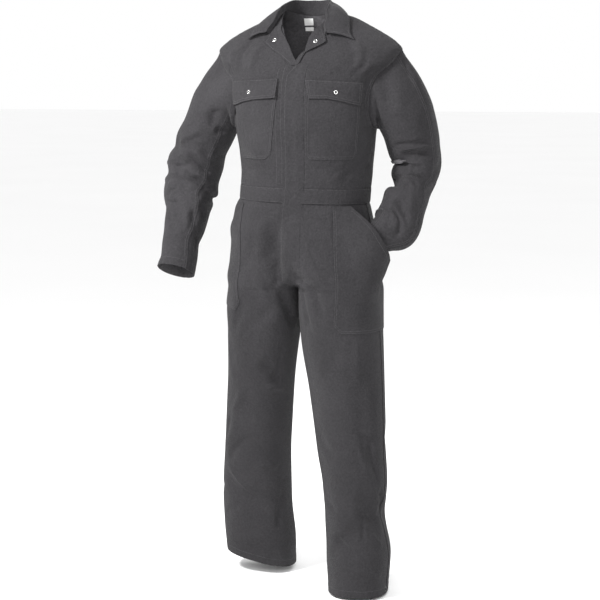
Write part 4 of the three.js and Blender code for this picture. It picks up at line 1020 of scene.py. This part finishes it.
def lapel(name):
    side = SIDES[name]
    inner = np.array([(side * float(NECKS[name].read("angle", np.array(h))), h) for h in LAPEL_NECK[name]])
    outer = trunk.find(*np.array(LAPEL_OUTER[name]).T, 0, side * 15.0)
    share, up, places = ruled_grid(inner, outer, 24, 44, (trunk.radius * DEGREE, 1))
    panel = ruled_panel(trunk, places, share, up, LAPEL_OFF)
    across, up = panel.share
    lift = 4.5 if name == "left" else 1.5
    middle = np.exp(-(((across - 0.45) / 0.25) ** 2))
    panel.raised(lift * up * middle + 1.5 * (1 - up) ** 3 - 1.2 * snap_dent(f"lapel_{name}", panel))
    return panel.finish(("high", "turned"))


NECK_MIDDLE = np.array([0, 18, 0])
FOLD_HALF = 2.6


def collar_station(name, turn, height):
    """Points of the collar's section at a place of its seam: up the stand, over the fold, down the fall."""
    side, table = SIDES[name], {"left": LEFT_COLLAR, "right": RIGHT_COLLAR}[name]
    up = np.array([0, 0, 1.0])
    neck = float(NECKS[name].read("angle", np.array(height)))
    lift = 6 * min(1, (turn - neck) / 4) if turn < 80 else 0
    place = np.array(side * turn), np.array(float(height))
    seam = trunk_plain(*place) + trunk.normal(*place) * lift
    out = unit((seam - NECK_MIDDLE) * [1, 1, 0])
    foot = seam - 1.2 * out + 0.6 * up
    lean, rise, edge_angle, edge_height, edge_lift = (
        table.read(column, np.array(turn)) for column in ("lean", "rise", "edgeAngle", "edgeHeight", "lift")
    )
    top = foot + float(lean) * out + float(rise) * up
    edge_place = np.array(side * edge_angle), edge_height
    edge = trunk_plain(*edge_place) + trunk.normal(*edge_place) * edge_lift
    bends = (math.pi / 3, 2 * math.pi / 3)
    over = [top + FOLD_HALF * ((1 - math.cos(a)) * out + math.sin(a) * up) for a in bends]
    fall = top + 2 * FOLD_HALF * out
    drop = [fall * (1 - s) + edge * s + amount * (0.6 * out + up) for s, amount in ((0.33, 3), (0.67, 3))]
    knots = np.array([foot, (foot + top) / 2, top, *over, fall, *drop, edge])
    reach = np.concatenate([[0], np.cumsum(np.linalg.norm(np.diff(knots, axis=0), axis=1))])
    places = spread((reach[0], 6), (reach[2], 8), (reach[5], 14), (reach[8], 1))
    curves = [Table("at value", np.stack([reach, knots[:, k]], 1)) for k in range(3)]
    return np.stack([curve.read("value", places) for curve in curves], 1)


def collar():
    stations = []
    for height in np.linspace(1503, 1556, 26):
        stations.append(("left", float(LEFT_COLLAR_SEAM.read("angle", height)), height))
    for turn in np.linspace(90, 270, 62)[1:-1]:
        place = ("left", turn) if turn <= 180 else ("right", 360 - turn)
        stations.append((*place, COLLAR_HEIGHT))
    for height in np.linspace(1556, 1503, 26):
        stations.append(("right", float(RIGHT_COLLAR_SEAM.read("angle", height)), height))
    points = np.stack([collar_station(*station) for station in stations])
    out = points - np.mean(points[:, 3:5], axis=1, keepdims=True) + 1e-6
    like = np.cross(np.gradient(points, axis=1), np.gradient(points, axis=0))
    flip = -1 if np.sum(like[:, -4] * out[:, -4]) < 0 else 1
    panel = Panel(points, like * flip)
    return panel.finish(("right", "turned"), ("low", "turned"), ("high", "turned"))


def new_mesh(name, points, faces):
    """A mesh in metres about the part's origin, from millimetres over the floor under the hems."""
    mesh = bpy.data.meshes.new(name)
    mesh.from_pydata(((points - [0, 0, ORIGIN_HEIGHT]) / 1000).tolist(), [], faces)
    mesh.update()
    return mesh


def new_object(name, mesh, material, node=None):
    piece = bpy.data.objects.new(name, mesh)
    bpy.context.scene.collection.objects.link(piece)
    mesh.materials.append(material)
    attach(piece, "root")
    if node:
        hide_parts(node)
    return piece


def shell(name, panel, thickness, front, back=None):
    """Make a panel a closed shell that faces out on both sides, mapped in metres across and up."""
    rows, columns = panel.up.shape
    inner = panel.points - panel.normals * np.broadcast_to(thickness, panel.up.shape)[..., None]
    points = np.concatenate([panel.points.reshape(-1, 3), inner.reshape(-1, 3)])
    index = np.arange(rows * columns).reshape(rows, columns)
    corners = [index[:-1, :-1], index[:-1, 1:], index[1:, 1:], index[1:, :-1]]
    quads = np.stack(corners, axis=-1).reshape(-1, 4)
    facing = np.cross(points[quads[:, 2]] - points[quads[:, 0]], points[quads[:, 3]] - points[quads[:, 1]])
    outward = np.sum(facing * panel.normals.reshape(-1, 3)[quads[:, 0]]) > 0
    rim = np.concatenate([index[0], index[1:, -1], index[-1, -2::-1], index[-2:0:-1, 0]])
    after = np.roll(rim, -1)
    under = quads[:, ::-1] + rows * columns
    sides = np.stack([rim, rim + rows * columns, after + rows * columns, after], axis=-1)
    faces = np.concatenate([quads, under, sides])
    if not outward:
        faces = faces[:, ::-1]
    mesh = new_mesh(name, points, faces.tolist())
    mesh.shade_smooth()
    mesh.set_sharp_from_angle(angle=50 * DEGREE)
    flat = np.stack([panel.across, panel.up], axis=-1).reshape(-1, 2) / 1000
    corners = np.concatenate([flat, flat])[faces.reshape(-1)]
    mesh.uv_layers.new(name="Cloth").data.foreach_set("uv", corners.reshape(-1))
    piece = new_object(name, mesh, front, name)
    if back:
        mesh.materials.append(back)
        slots = np.repeat([0, 1, 0], [len(quads), len(under), len(sides)])
        mesh.polygons.foreach_set("material_index", slots)
    return piece


def lathe(name, profile, place, normal, rim, centre, rim_rings, count=32):
    """A turned piece with a filled centre: its profile holds radius and height, from the outside in."""
    turns = np.linspace(0, 2 * math.pi, count, endpoint=False)
    side = unit(np.cross(normal, [0, 0, 1.0]))
    up = np.cross(normal, side)
    points = [
        place + normal * height + radius * (math.cos(turn) * side + math.sin(turn) * up)
        for radius, height in profile
        for turn in turns
    ]
    faces = []
    for ring in range(len(profile) - 1):
        for k in range(count):
            near, far = ring * count, (ring + 1) * count
            faces.append((near + k, far + k, far + (k + 1) % count, near + (k + 1) % count))
    top = (len(profile) - 1) * count
    faces.append(tuple(range(count)))
    faces.append(tuple(range(top, top + count))[::-1])
    mesh = new_mesh(name, np.array(points), faces)
    mesh.shade_smooth()
    mesh.set_sharp_from_angle(angle=40 * DEGREE)
    piece = new_object(name, mesh, rim, name)
    mesh.materials.append(centre)
    inner = [int(rim_rings * count <= k < len(faces) - 2 or k == len(faces) - 1) for k in range(len(faces))]
    mesh.polygons.foreach_set("material_index", inner)
    return piece


class Tree:
    """Adds nodes to a node tree: type, settings and sockets in one call."""

    def __init__(self, tree):
        self.tree = tree

    def node(self, kind, settings=None, **sockets):
        made = self.tree.nodes.new(kind)
        for key, value in (settings or {}).items():
            setattr(made, key, value)
        for key, value in sockets.items():
            self.set(made.inputs[key.replace("_", " ")], value)
        return made

    def set(self, socket, value):
        value = getattr(value, "socket", value)
        if isinstance(value, bpy.types.NodeSocket):
            self.tree.links.new(value, socket)
        elif value is not None:
            socket.default_value = value


class Value:
    """A number in a shader, so that shader maths can be written as an expression."""

    def __init__(self, shader, socket):
        self.shader, self.socket = shader, socket

    def math(self, operation, first, second=None, clamp=False):
        made = self.shader.node("ShaderNodeMath", {"operation": operation, "use_clamp": clamp})
        for socket, value in zip(made.inputs, (first, second)):
            self.shader.set(socket, value)
        return Value(self.shader, made.outputs[0])

    def __add__(self, other):
        return self.math("ADD", self, other)

    __radd__ = __add__

    def __mul__(self, other):
        return self.math("MULTIPLY", self, other)

    __rmul__ = __mul__

    def __sub__(self, other):
        return self.math("SUBTRACT", self, other)

    def __rsub__(self, other):
        return self.math("SUBTRACT", other, self)

    def __pow__(self, other):
        return self.math("POWER", self, other)

    def clamped(self):
        return self.math("ADD", self, 0.0, clamp=True)


class Shader(Tree):
    """A material on one Principled shader, whose varying inputs are expressions over its coordinates."""

    def __init__(self, name, **constants):
        self.material = bpy.data.materials.new(name)
        self.material.use_nodes = True
        super().__init__(self.material.node_tree)
        self.surface = self.tree.nodes["Principled BSDF"]
        self.place = self.node("ShaderNodeTexCoord").outputs["Object"]
        for key, value in constants.items():
            self.surface.inputs[key.replace("_", " ")].default_value = value

    def noise(self, scale, detail=2.0, roughness=0.5):
        made = self.node("ShaderNodeTexNoise", Scale=scale, Detail=detail, Roughness=roughness)
        self.set(made.inputs["Vector"], self.place)
        return Value(self, made.outputs["Fac"])

    def coloured(self, tone, dark, light):
        """Colour the surface between a dark and a light colour."""
        made = self.node("ShaderNodeMix", {"data_type": "RGBA"})
        for socket, value in ((0, tone), (6, (*dark, 1)), (7, (*light, 1))):
            self.set(made.inputs[socket], value)
        self.set(self.surface.inputs["Base Color"], made.outputs[2])

    def bumped(self, height, distance, strength=1.0):
        made = self.node("ShaderNodeBump", Height=height, Distance=distance, Strength=strength)
        self.set(self.surface.inputs["Normal"], made.outputs[0])


def cloth_material(look, name="Twill"):
    """Matt twill: fine ribs that run across the cloth at an angle, slubs, and a faint cloudiness."""
    matt = {"Roughness": 0.85, "Sheen_Weight": look.sheen, "Sheen_Roughness": 0.4, "Specular_IOR_Level": 0.15}
    shader = Shader(name, **matt)
    flat = shader.node("ShaderNodeUVMap", {"uv_map": "Cloth"}).outputs[0]
    apart = shader.node("ShaderNodeSeparateXYZ", Vector=flat)
    across, up = Value(shader, apart.outputs[0]), Value(shader, apart.outputs[1])
    ribs = (across + up * 0.8) * (2 * math.pi / look.twill)
    rib = ribs.math("SINE", ribs) * 0.5 + 0.5
    grain = shader.noise(900.0, 3.0, 0.6)
    slubs = shader.noise(210.0, 2.0, 0.6)
    rumples = shader.noise(75.0, 3.0, 0.55)
    cloud = shader.noise(9.0, 3.0, 0.6)
    tone = ((cloud * 0.3 + slubs * 0.45 + grain * 0.25) * 2.4 - 0.7).clamped()
    # The wrong side's colour is partly the twill's own lighter reverse and partly painted light: it is made
    # much lighter so that shaded inner faces, such as inside the neck, look as bright as lit cloth.
    colour = look.cloth if name == "Twill" else look.reverse
    shader.coloured(tone, *(tuple(c * k for c in colour) for k in (0.6, 1.4)))
    shader.bumped(rib * 0.2 + grain * 0.25 + slubs * 0.8 + rumples * 1.8, 0.002, 0.8)
    return shader.material


# The twill's wrong side, painted lighter than the real reverse to stand in for light reaching the shaded
# insides.
def reverse_painted_light_material(look):
    return cloth_material(look, "Twill_reverse_painted_light")


def thread_material(look):
    shader = Shader("Thread", Roughness=0.6, Sheen_Weight=0.1)
    shader.coloured(shader.noise(500.0), *(tuple(c * k for c in look.thread) for k in (0.85, 1.15)))
    return shader.material


def steel_material(look):
    shader = Shader("Snap_steel", Metallic=1.0, Base_Color=(0.5, 0.495, 0.49, 1))
    shader.set(shader.surface.inputs["Roughness"], shader.noise(700.0) * 0.16 + 0.14)
    return shader.material


def centre_material(look):
    shader = Shader("Snap_centre", Metallic=0.6, Roughness=0.55)
    shader.coloured(shader.noise(600.0), (0.035, 0.035, 0.036), (0.09, 0.088, 0.088))
    return shader.material


def tape_material(look):
    shader = Shader("Label_tape", Roughness=0.75, Sheen_Weight=0.1)
    tone = shader.noise(800.0, 2.0)
    shader.coloured(tone, (0.78, 0.78, 0.77), (0.9, 0.9, 0.89))
    shader.bumped(tone, 0.0002, 0.5)
    return shader.material


def studio_material(look):
    shader = Shader("Studio", Roughness=0.9, Specular_IOR_Level=0.1)
    shader.coloured(shader.noise(0.6, 1.0), (0.93, 0.93, 0.93), (0.96, 0.96, 0.96))
    return shader.material


def stitching_tree():
    """Geometry nodes that lay one short stitch after another along lines, flat on the cloth."""
    tree = bpy.data.node_groups.new("Stitching", "GeometryNodeTree")
    tree.interface.new_socket("Geometry", in_out="OUTPUT", socket_type="NodeSocketGeometry")
    for name, kind in (
        ("Geometry", "Geometry"),
        ("Pitch", "Float"),
        ("Length", "Float"),
        ("Width", "Float"),
        ("Seed", "Int"),
        ("Thread", "Material"),
    ):
        tree.interface.new_socket(name, in_out="INPUT", socket_type=f"NodeSocket{kind}")
    make = Tree(tree)
    given = make.node("NodeGroupInput").outputs
    line = make.node("GeometryNodeMeshToCurve", Mesh=given["Geometry"])
    by_length = {"mode": "LENGTH"}
    dots = make.node("GeometryNodeResampleCurve", by_length, Curve=line.outputs[0], Length=given["Pitch"])
    size = make.node("ShaderNodeCombineXYZ", X=given["Length"], Y=given["Width"], Z=given["Width"])
    bead = make.node("GeometryNodeMeshIcoSphere", Radius=0.5, Subdivisions=1)
    lie = make.node("GeometryNodeInputNamedAttribute", {"data_type": "FLOAT_VECTOR"}, Name="lie")
    turn = make.node("FunctionNodeAxesToRotation", {"primary_axis": "X", "secondary_axis": "Z"})
    make.set(turn.inputs[0], make.node("GeometryNodeInputTangent").outputs[0])
    make.set(turn.inputs[1], lie.outputs["Attribute"])
    uneven = make.node("FunctionNodeRandomValue", {"data_type": "FLOAT"}, Seed=given["Seed"])
    for socket in uneven.inputs:
        if socket.type == "VALUE" and socket.name in ("Min", "Max"):
            socket.default_value = 0.85 if socket.name == "Min" else 1.1
    number = next(s for s in uneven.outputs if s.type == "VALUE" and s.enabled)
    scaled = make.node("ShaderNodeVectorMath", {"operation": "SCALE"}, Vector=size.outputs[0])
    make.set(scaled.inputs["Scale"], number)
    laid = make.node("GeometryNodeInstanceOnPoints", Points=dots.outputs[0], Instance=bead.outputs[0])
    make.set(laid.inputs["Rotation"], turn.outputs[0])
    make.set(laid.inputs["Scale"], scaled.outputs[0])
    real = make.node("GeometryNodeRealizeInstances", Geometry=laid.outputs[0])
    painted = make.node("GeometryNodeSetMaterial", Geometry=real.outputs[0], Material=given["Thread"])
    make.node("NodeGroupOutput", Geometry=painted.outputs[0])
    return tree


def stitches(name, lines, look, seed):
    """Sew rows of stitches: each line is its points and the cloth's normals there."""
    points, edges, normals = [], [], []
    for places, facing in lines:
        edges += [(len(points) + k, len(points) + k + 1) for k in range(len(places) - 1)]
        points += list(places + facing * 0.12)
        normals += list(facing)
    mesh = bpy.data.meshes.new(name)
    mesh.from_pydata(((np.array(points) - [0, 0, ORIGIN_HEIGHT]) / 1000).tolist(), edges, [])
    lie = mesh.attributes.new("lie", "FLOAT_VECTOR", "POINT")
    lie.data.foreach_set("vector", np.array(normals).reshape(-1))
    holder = bpy.data.objects.new(name + "_lines", mesh)
    bpy.context.scene.collection.objects.link(holder)
    tree = bpy.data.node_groups.get("Stitching") or stitching_tree()
    modifier = holder.modifiers.new("Stitching", "NODES")
    modifier.node_group = tree
    given = {
        "Pitch": look.stitch_pitch,
        "Length": look.stitch_length,
        "Width": look.thread_width,
        "Seed": seed,
        "Thread": material("Thread"),
    }
    for item in tree.interface.items_tree:
        if item.in_out == "INPUT" and item.name in given:
            modifier[item.identifier] = given[item.name]
    bpy.context.view_layer.update()
    graph = bpy.context.evaluated_depsgraph_get()
    sewn = bpy.data.meshes.new_from_object(holder.evaluated_get(graph), depsgraph=graph)
    holder.modifiers.remove(modifier)
    bpy.data.objects.remove(holder)
    piece = bpy.data.objects.new(name, sewn)
    bpy.context.scene.collection.objects.link(piece)
    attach(piece, "root")
    return piece


MATERIALS = {
    "Twill": cloth_material,
    "Twill_reverse_painted_light": reverse_painted_light_material,
    "Thread": thread_material,
    "Snap_steel": steel_material,
    "Snap_centre": centre_material,
    "Label_tape": tape_material,
    "Studio": studio_material,
}


def material(name):
    return bpy.data.materials.get(name) or MATERIALS[name](bpy.context.scene.boiler_suit)


def sew(name, panel, thickness=1.6, lined=False):
    """Make a cloth panel, and return the lines of its stitching."""
    # Unlined pieces show the wrong side inside, in a colour that is partly the reverse's own and partly
    # painted light for the shaded insides.
    back = material("Twill" if lined else "Twill_reverse_painted_light")
    shell(name, panel, thickness, material("Twill"), back)
    return panel.stitch_lines()


class SuitLook(bpy.types.PropertyGroup):
    cloth: bpy.props.FloatVectorProperty(
        name="Cloth colour",
        description="Colour of the twill",
        subtype="COLOR",
        default=(0.0285, 0.0272, 0.0294),
    )
    # Partly the reverse's own colour and partly painted light: lighter so that shaded inner faces look
    # bright.
    reverse: bpy.props.FloatVectorProperty(
        name="Reverse colour",
        description="Colour of the twill's wrong side",
        subtype="COLOR",
        default=(0.08, 0.077, 0.082),
    )
    thread: bpy.props.FloatVectorProperty(
        name="Thread colour",
        description="Colour of the stitching",
        subtype="COLOR",
        default=(0.058, 0.0558, 0.0595),
    )
    sheen: bpy.props.FloatProperty(name="Sheen", description="How much sheen the twill has", default=0.04)
    twill: bpy.props.FloatProperty(
        name="Twill pitch", description="Distance between the twill's ribs", default=0.0012, unit="LENGTH"
    )
    stitch_pitch: bpy.props.FloatProperty(
        name="Stitch pitch", description="Distance from stitch to stitch", default=0.0032, unit="LENGTH"
    )
    stitch_length: bpy.props.FloatProperty(
        name="Stitch length", description="Length of one stitch", default=0.0025, unit="LENGTH"
    )
    thread_width: bpy.props.FloatProperty(
        name="Thread width", description="Width of the thread", default=0.0008, unit="LENGTH"
    )


class StudioLook(bpy.types.PropertyGroup):
    key_power: bpy.props.FloatProperty(name="Key light", description="Power of the large light", default=115)
    fill_power: bpy.props.FloatProperty(name="Fill light", description="Power of the fill light", default=45)
    sky: bpy.props.FloatProperty(name="Sky", description="Brightness of the white surroundings", default=1.0)


class SUIT_OT_bodice(bpy.types.Operator):
    """Cut the two fronts and the back of the bodice."""

    bl_idname = "suit.bodice"
    bl_label = "Bodice"

    def execute(self, context):
        lines = sew("front_left", bodice_front("left")) + sew("front_right", bodice_front("right"))
        lines += sew("back", bodice_back())
        stitches("stitches_bodice", lines, context.scene.boiler_suit, 1)
        return {"FINISHED"}


class SUIT_OT_waistband(bpy.types.Operator):
    """Cut the waistband's three pieces."""

    bl_idname = "suit.waistband"
    bl_label = "Waistband"

    def execute(self, context):
        lines = sew("waistband_left", waistband(0.05, 89.955, 60))
        lines += sew("waistband_right", waistband(-0.05, -89.955, 60))
        lines += sew("waistband_back", waistband(90.045, 269.955, 120))
        stitches("stitches_waistband", lines, context.scene.boiler_suit, 2)
        return {"FINISHED"}


class SUIT_OT_trousers(bpy.types.Operator):
    """Cut the front and the back of both trouser legs."""

    bl_idname = "suit.trousers"
    bl_label = "Trousers"

    def execute(self, context):
        lines = []
        for name in SIDES:
            lines += sew(f"trouser_front_{name}", trouser_front(name))
            lines += sew(f"trouser_back_{name}", trouser_back(name))
        stitches("stitches_trousers", lines, context.scene.boiler_suit, 3)
        return {"FINISHED"}


class SUIT_OT_sleeves(bpy.types.Operator):
    """Cut the top and the under panel of both sleeves."""

    bl_idname = "suit.sleeves"
    bl_label = "Sleeves"

    def execute(self, context):
        lines = []
        for name, (front, back) in SLEEVE_SEAMS.items():
            lines += sew(f"sleeve_top_{name}", sleeve(name, back - 360, front, "lap"))
            lines += sew(f"sleeve_under_{name}", sleeve(name, front, back, "under"))
        stitches("stitches_sleeves", lines, context.scene.boiler_suit, 4)
        return {"FINISHED"}


class SUIT_OT_placket(bpy.types.Operator):
    """Lay the placket over the fronts, the waistband and the fly."""

    bl_idname = "suit.placket"
    bl_label = "Placket"

    def execute(self, context):
        strip = placket()
        stitches("stitches_placket", sew("placket", strip, strip.stand), context.scene.boiler_suit, 5)
        return {"FINISHED"}


class SUIT_OT_pockets(bpy.types.Operator):
    """Sew on the chest pockets with their flaps, and the hip pockets."""

    bl_idname = "suit.pockets"
    bl_label = "Pockets"

    def execute(self, context):
        lines = []
        for name in SIDES:
            lines += sew(f"chest_pocket_{name}", chest_pocket(name))
            lines += sew(f"chest_flap_{name}", chest_flap(name), 1.8)
            lines += sew(f"hip_pocket_{name}", hip_pocket(name))
        stitches("stitches_pockets", lines, context.scene.boiler_suit, 6)
        return {"FINISHED"}


class SUIT_OT_collar(bpy.types.Operator):
    """Turn back the lapels and set the collar round the neck."""

    bl_idname = "suit.collar"
    bl_label = "Collar and lapels"

    def execute(self, context):
        lines = sew("lapel_left", lapel("left"), 1.8, True) + sew("lapel_right", lapel("right"), 1.8, True)
        lines += sew("collar", collar(), 2.2, True)
        stitches("stitches_collar", lines, context.scene.boiler_suit, 7)
        return {"FINISHED"}


SNAP_RING = (
    (5.3, -0.3), (5.5, 0.1), (5.4, 1.0), (4.9, 1.6), (4.3, 1.8),
    (3.7, 1.6), (3.4, 1.1), (3.3, 0.5), (0.01, 0.5),
)


class SUIT_OT_snaps(bpy.types.Operator):
    """Press a ring snap into each flap and lapel."""

    bl_idname = "suit.snaps"
    bl_label = "Snaps"

    def execute(self, context):
        for name, (x, z) in SNAP_PLACES.items():
            cloth = bpy.data.objects[("chest_" if "flap" in name else "") + name].data
            tree = BVHTree.FromPolygons([v.co for v in cloth.vertices], [f.vertices for f in cloth.polygons])
            above = np.array([x, -400, z - ORIGIN_HEIGHT]) / 1000
            place, normal, _, _ = tree.ray_cast(Vector(above), Vector((0, 1, 0)))
            if place is None:
                raise RuntimeError(f"no cloth under the snap {name}")
            place = np.array(place) * 1000 + [0, 0, ORIGIN_HEIGHT]
            metal, enamel = material("Snap_steel"), material("Snap_centre")
            lathe(f"snap_{name}", SNAP_RING, place, np.array(normal), metal, enamel, 6)
        return {"FINISHED"}


LABEL_OUTLINES = {"neck_label": (-25, -1, 1536, 1554), "size_label": (-24, -1, 1521, 1531)}


class SUIT_OT_labels(bpy.types.Operator):
    """Sew two bare tapes inside the back of the neck."""

    bl_idname = "suit.labels"
    bl_label = "Labels"

    def execute(self, context):
        for name, (left, right, low, high) in LABEL_OUTLINES.items():
            corners = [(right, low), (left, low)], [(right, high), (left, high)]
            panel = ruled(trunk, *corners, 8, 12, -2.25, 0, 180.0)
            shell(name, panel, 0.8, material("Label_tape"))
        return {"FINISHED"}


class SUIT_OT_studio(bpy.types.Operator):
    """Set up the floor, the lights and the camera."""

    bl_idname = "suit.studio"
    bl_label = "Studio"

    def execute(self, context):
        look, scene = context.scene.boiler_studio, context.scene
        mesh = bpy.data.meshes.new("floor")
        low = -ORIGIN_HEIGHT / 1000 - FLOOR_DROP
        corners = [(x * FLOOR_SIZE, y * FLOOR_SIZE, low) for x, y in ((-1, -1), (1, -1), (1, 1), (-1, 1))]
        mesh.from_pydata(corners, [], [(0, 1, 2, 3)])
        mesh.materials.append(material("Studio"))
        floor = bpy.data.objects.new("floor", mesh)
        scene.collection.objects.link(floor)
        scene.view_settings.view_transform = "Standard"
        world = bpy.data.worlds.new("Studio")
        scene.world = world
        world.use_nodes = True
        world.node_tree.nodes["Background"].inputs[0].default_value = (1, 1, 1, 1)
        world.node_tree.nodes["Background"].inputs[1].default_value = look.sky
        for name, place, width, power in (
            ("key", (-1.35, -1.6, 1.15), 0.45, look.key_power),
            ("fill", (0.8, -3.2, 0.5), 1.0, look.fill_power),
            ("back", (0.6, 3.2, 0.8), 1.2, look.fill_power),
        ):
            lamp = bpy.data.lights.new(name, "AREA")
            lamp.shape, lamp.size, lamp.energy = "SQUARE", width, power
            light = bpy.data.objects.new(name, lamp)
            light.location = place
            light.rotation_euler = (Vector((0, 0, -0.5)) - Vector(place)).to_track_quat("-Z", "Y").to_euler()
            scene.collection.objects.link(light)
        camera = bpy.data.objects.new("camera", bpy.data.cameras.new("camera"))
        scene.collection.objects.link(camera)
        camera.location = Vector(CAMERA_PLACE) - Vector((0, 0, ORIGIN_HEIGHT / 1000))
        turn, drop = CAMERA_TURN * DEGREE, CAMERA_DROP * DEGREE
        aim = Vector((-math.sin(turn) * math.cos(drop), math.cos(turn) * math.cos(drop), -math.sin(drop)))
        camera.rotation_euler = aim.to_track_quat("-Z", "Y").to_euler()
        camera.data.angle = CAMERA_ANGLE
        scene.camera = camera
        return {"FINISHED"}


OPERATORS = (
    SUIT_OT_bodice,
    SUIT_OT_waistband,
    SUIT_OT_trousers,
    SUIT_OT_sleeves,
    SUIT_OT_placket,
    SUIT_OT_pockets,
    SUIT_OT_collar,
    SUIT_OT_snaps,
    SUIT_OT_labels,
    SUIT_OT_studio,
)


class SUIT_PT_panel(bpy.types.Panel):
    """The suit's settings, and a button for each step."""

    bl_idname = "SUIT_PT_panel"
    bl_label = "Boiler suit"
    bl_space_type = "VIEW_3D"
    bl_region_type = "UI"
    bl_category = "Boiler suit"

    def draw(self, context):
        for settings in (context.scene.boiler_suit, context.scene.boiler_studio):
            for name in settings.__annotations__:
                self.layout.prop(settings, name)
        for operator in OPERATORS:
            self.layout.operator(operator.bl_idname)


CLASSES = (SuitLook, StudioLook, *OPERATORS, SUIT_PT_panel)


def register():
    for cls in CLASSES:
        bpy.utils.register_class(cls)
    bpy.types.Scene.boiler_suit = bpy.props.PointerProperty(type=SuitLook)
    bpy.types.Scene.boiler_studio = bpy.props.PointerProperty(type=StudioLook)


def unregister():
    del bpy.types.Scene.boiler_studio
    del bpy.types.Scene.boiler_suit
    for cls in reversed(CLASSES):
        bpy.utils.unregister_class(cls)


def main():
    register()
    for operator in OPERATORS:
        group, name = operator.bl_idname.split(".")
        getattr(getattr(bpy.ops, group), name)()


if __name__ == "__main__":
    main()
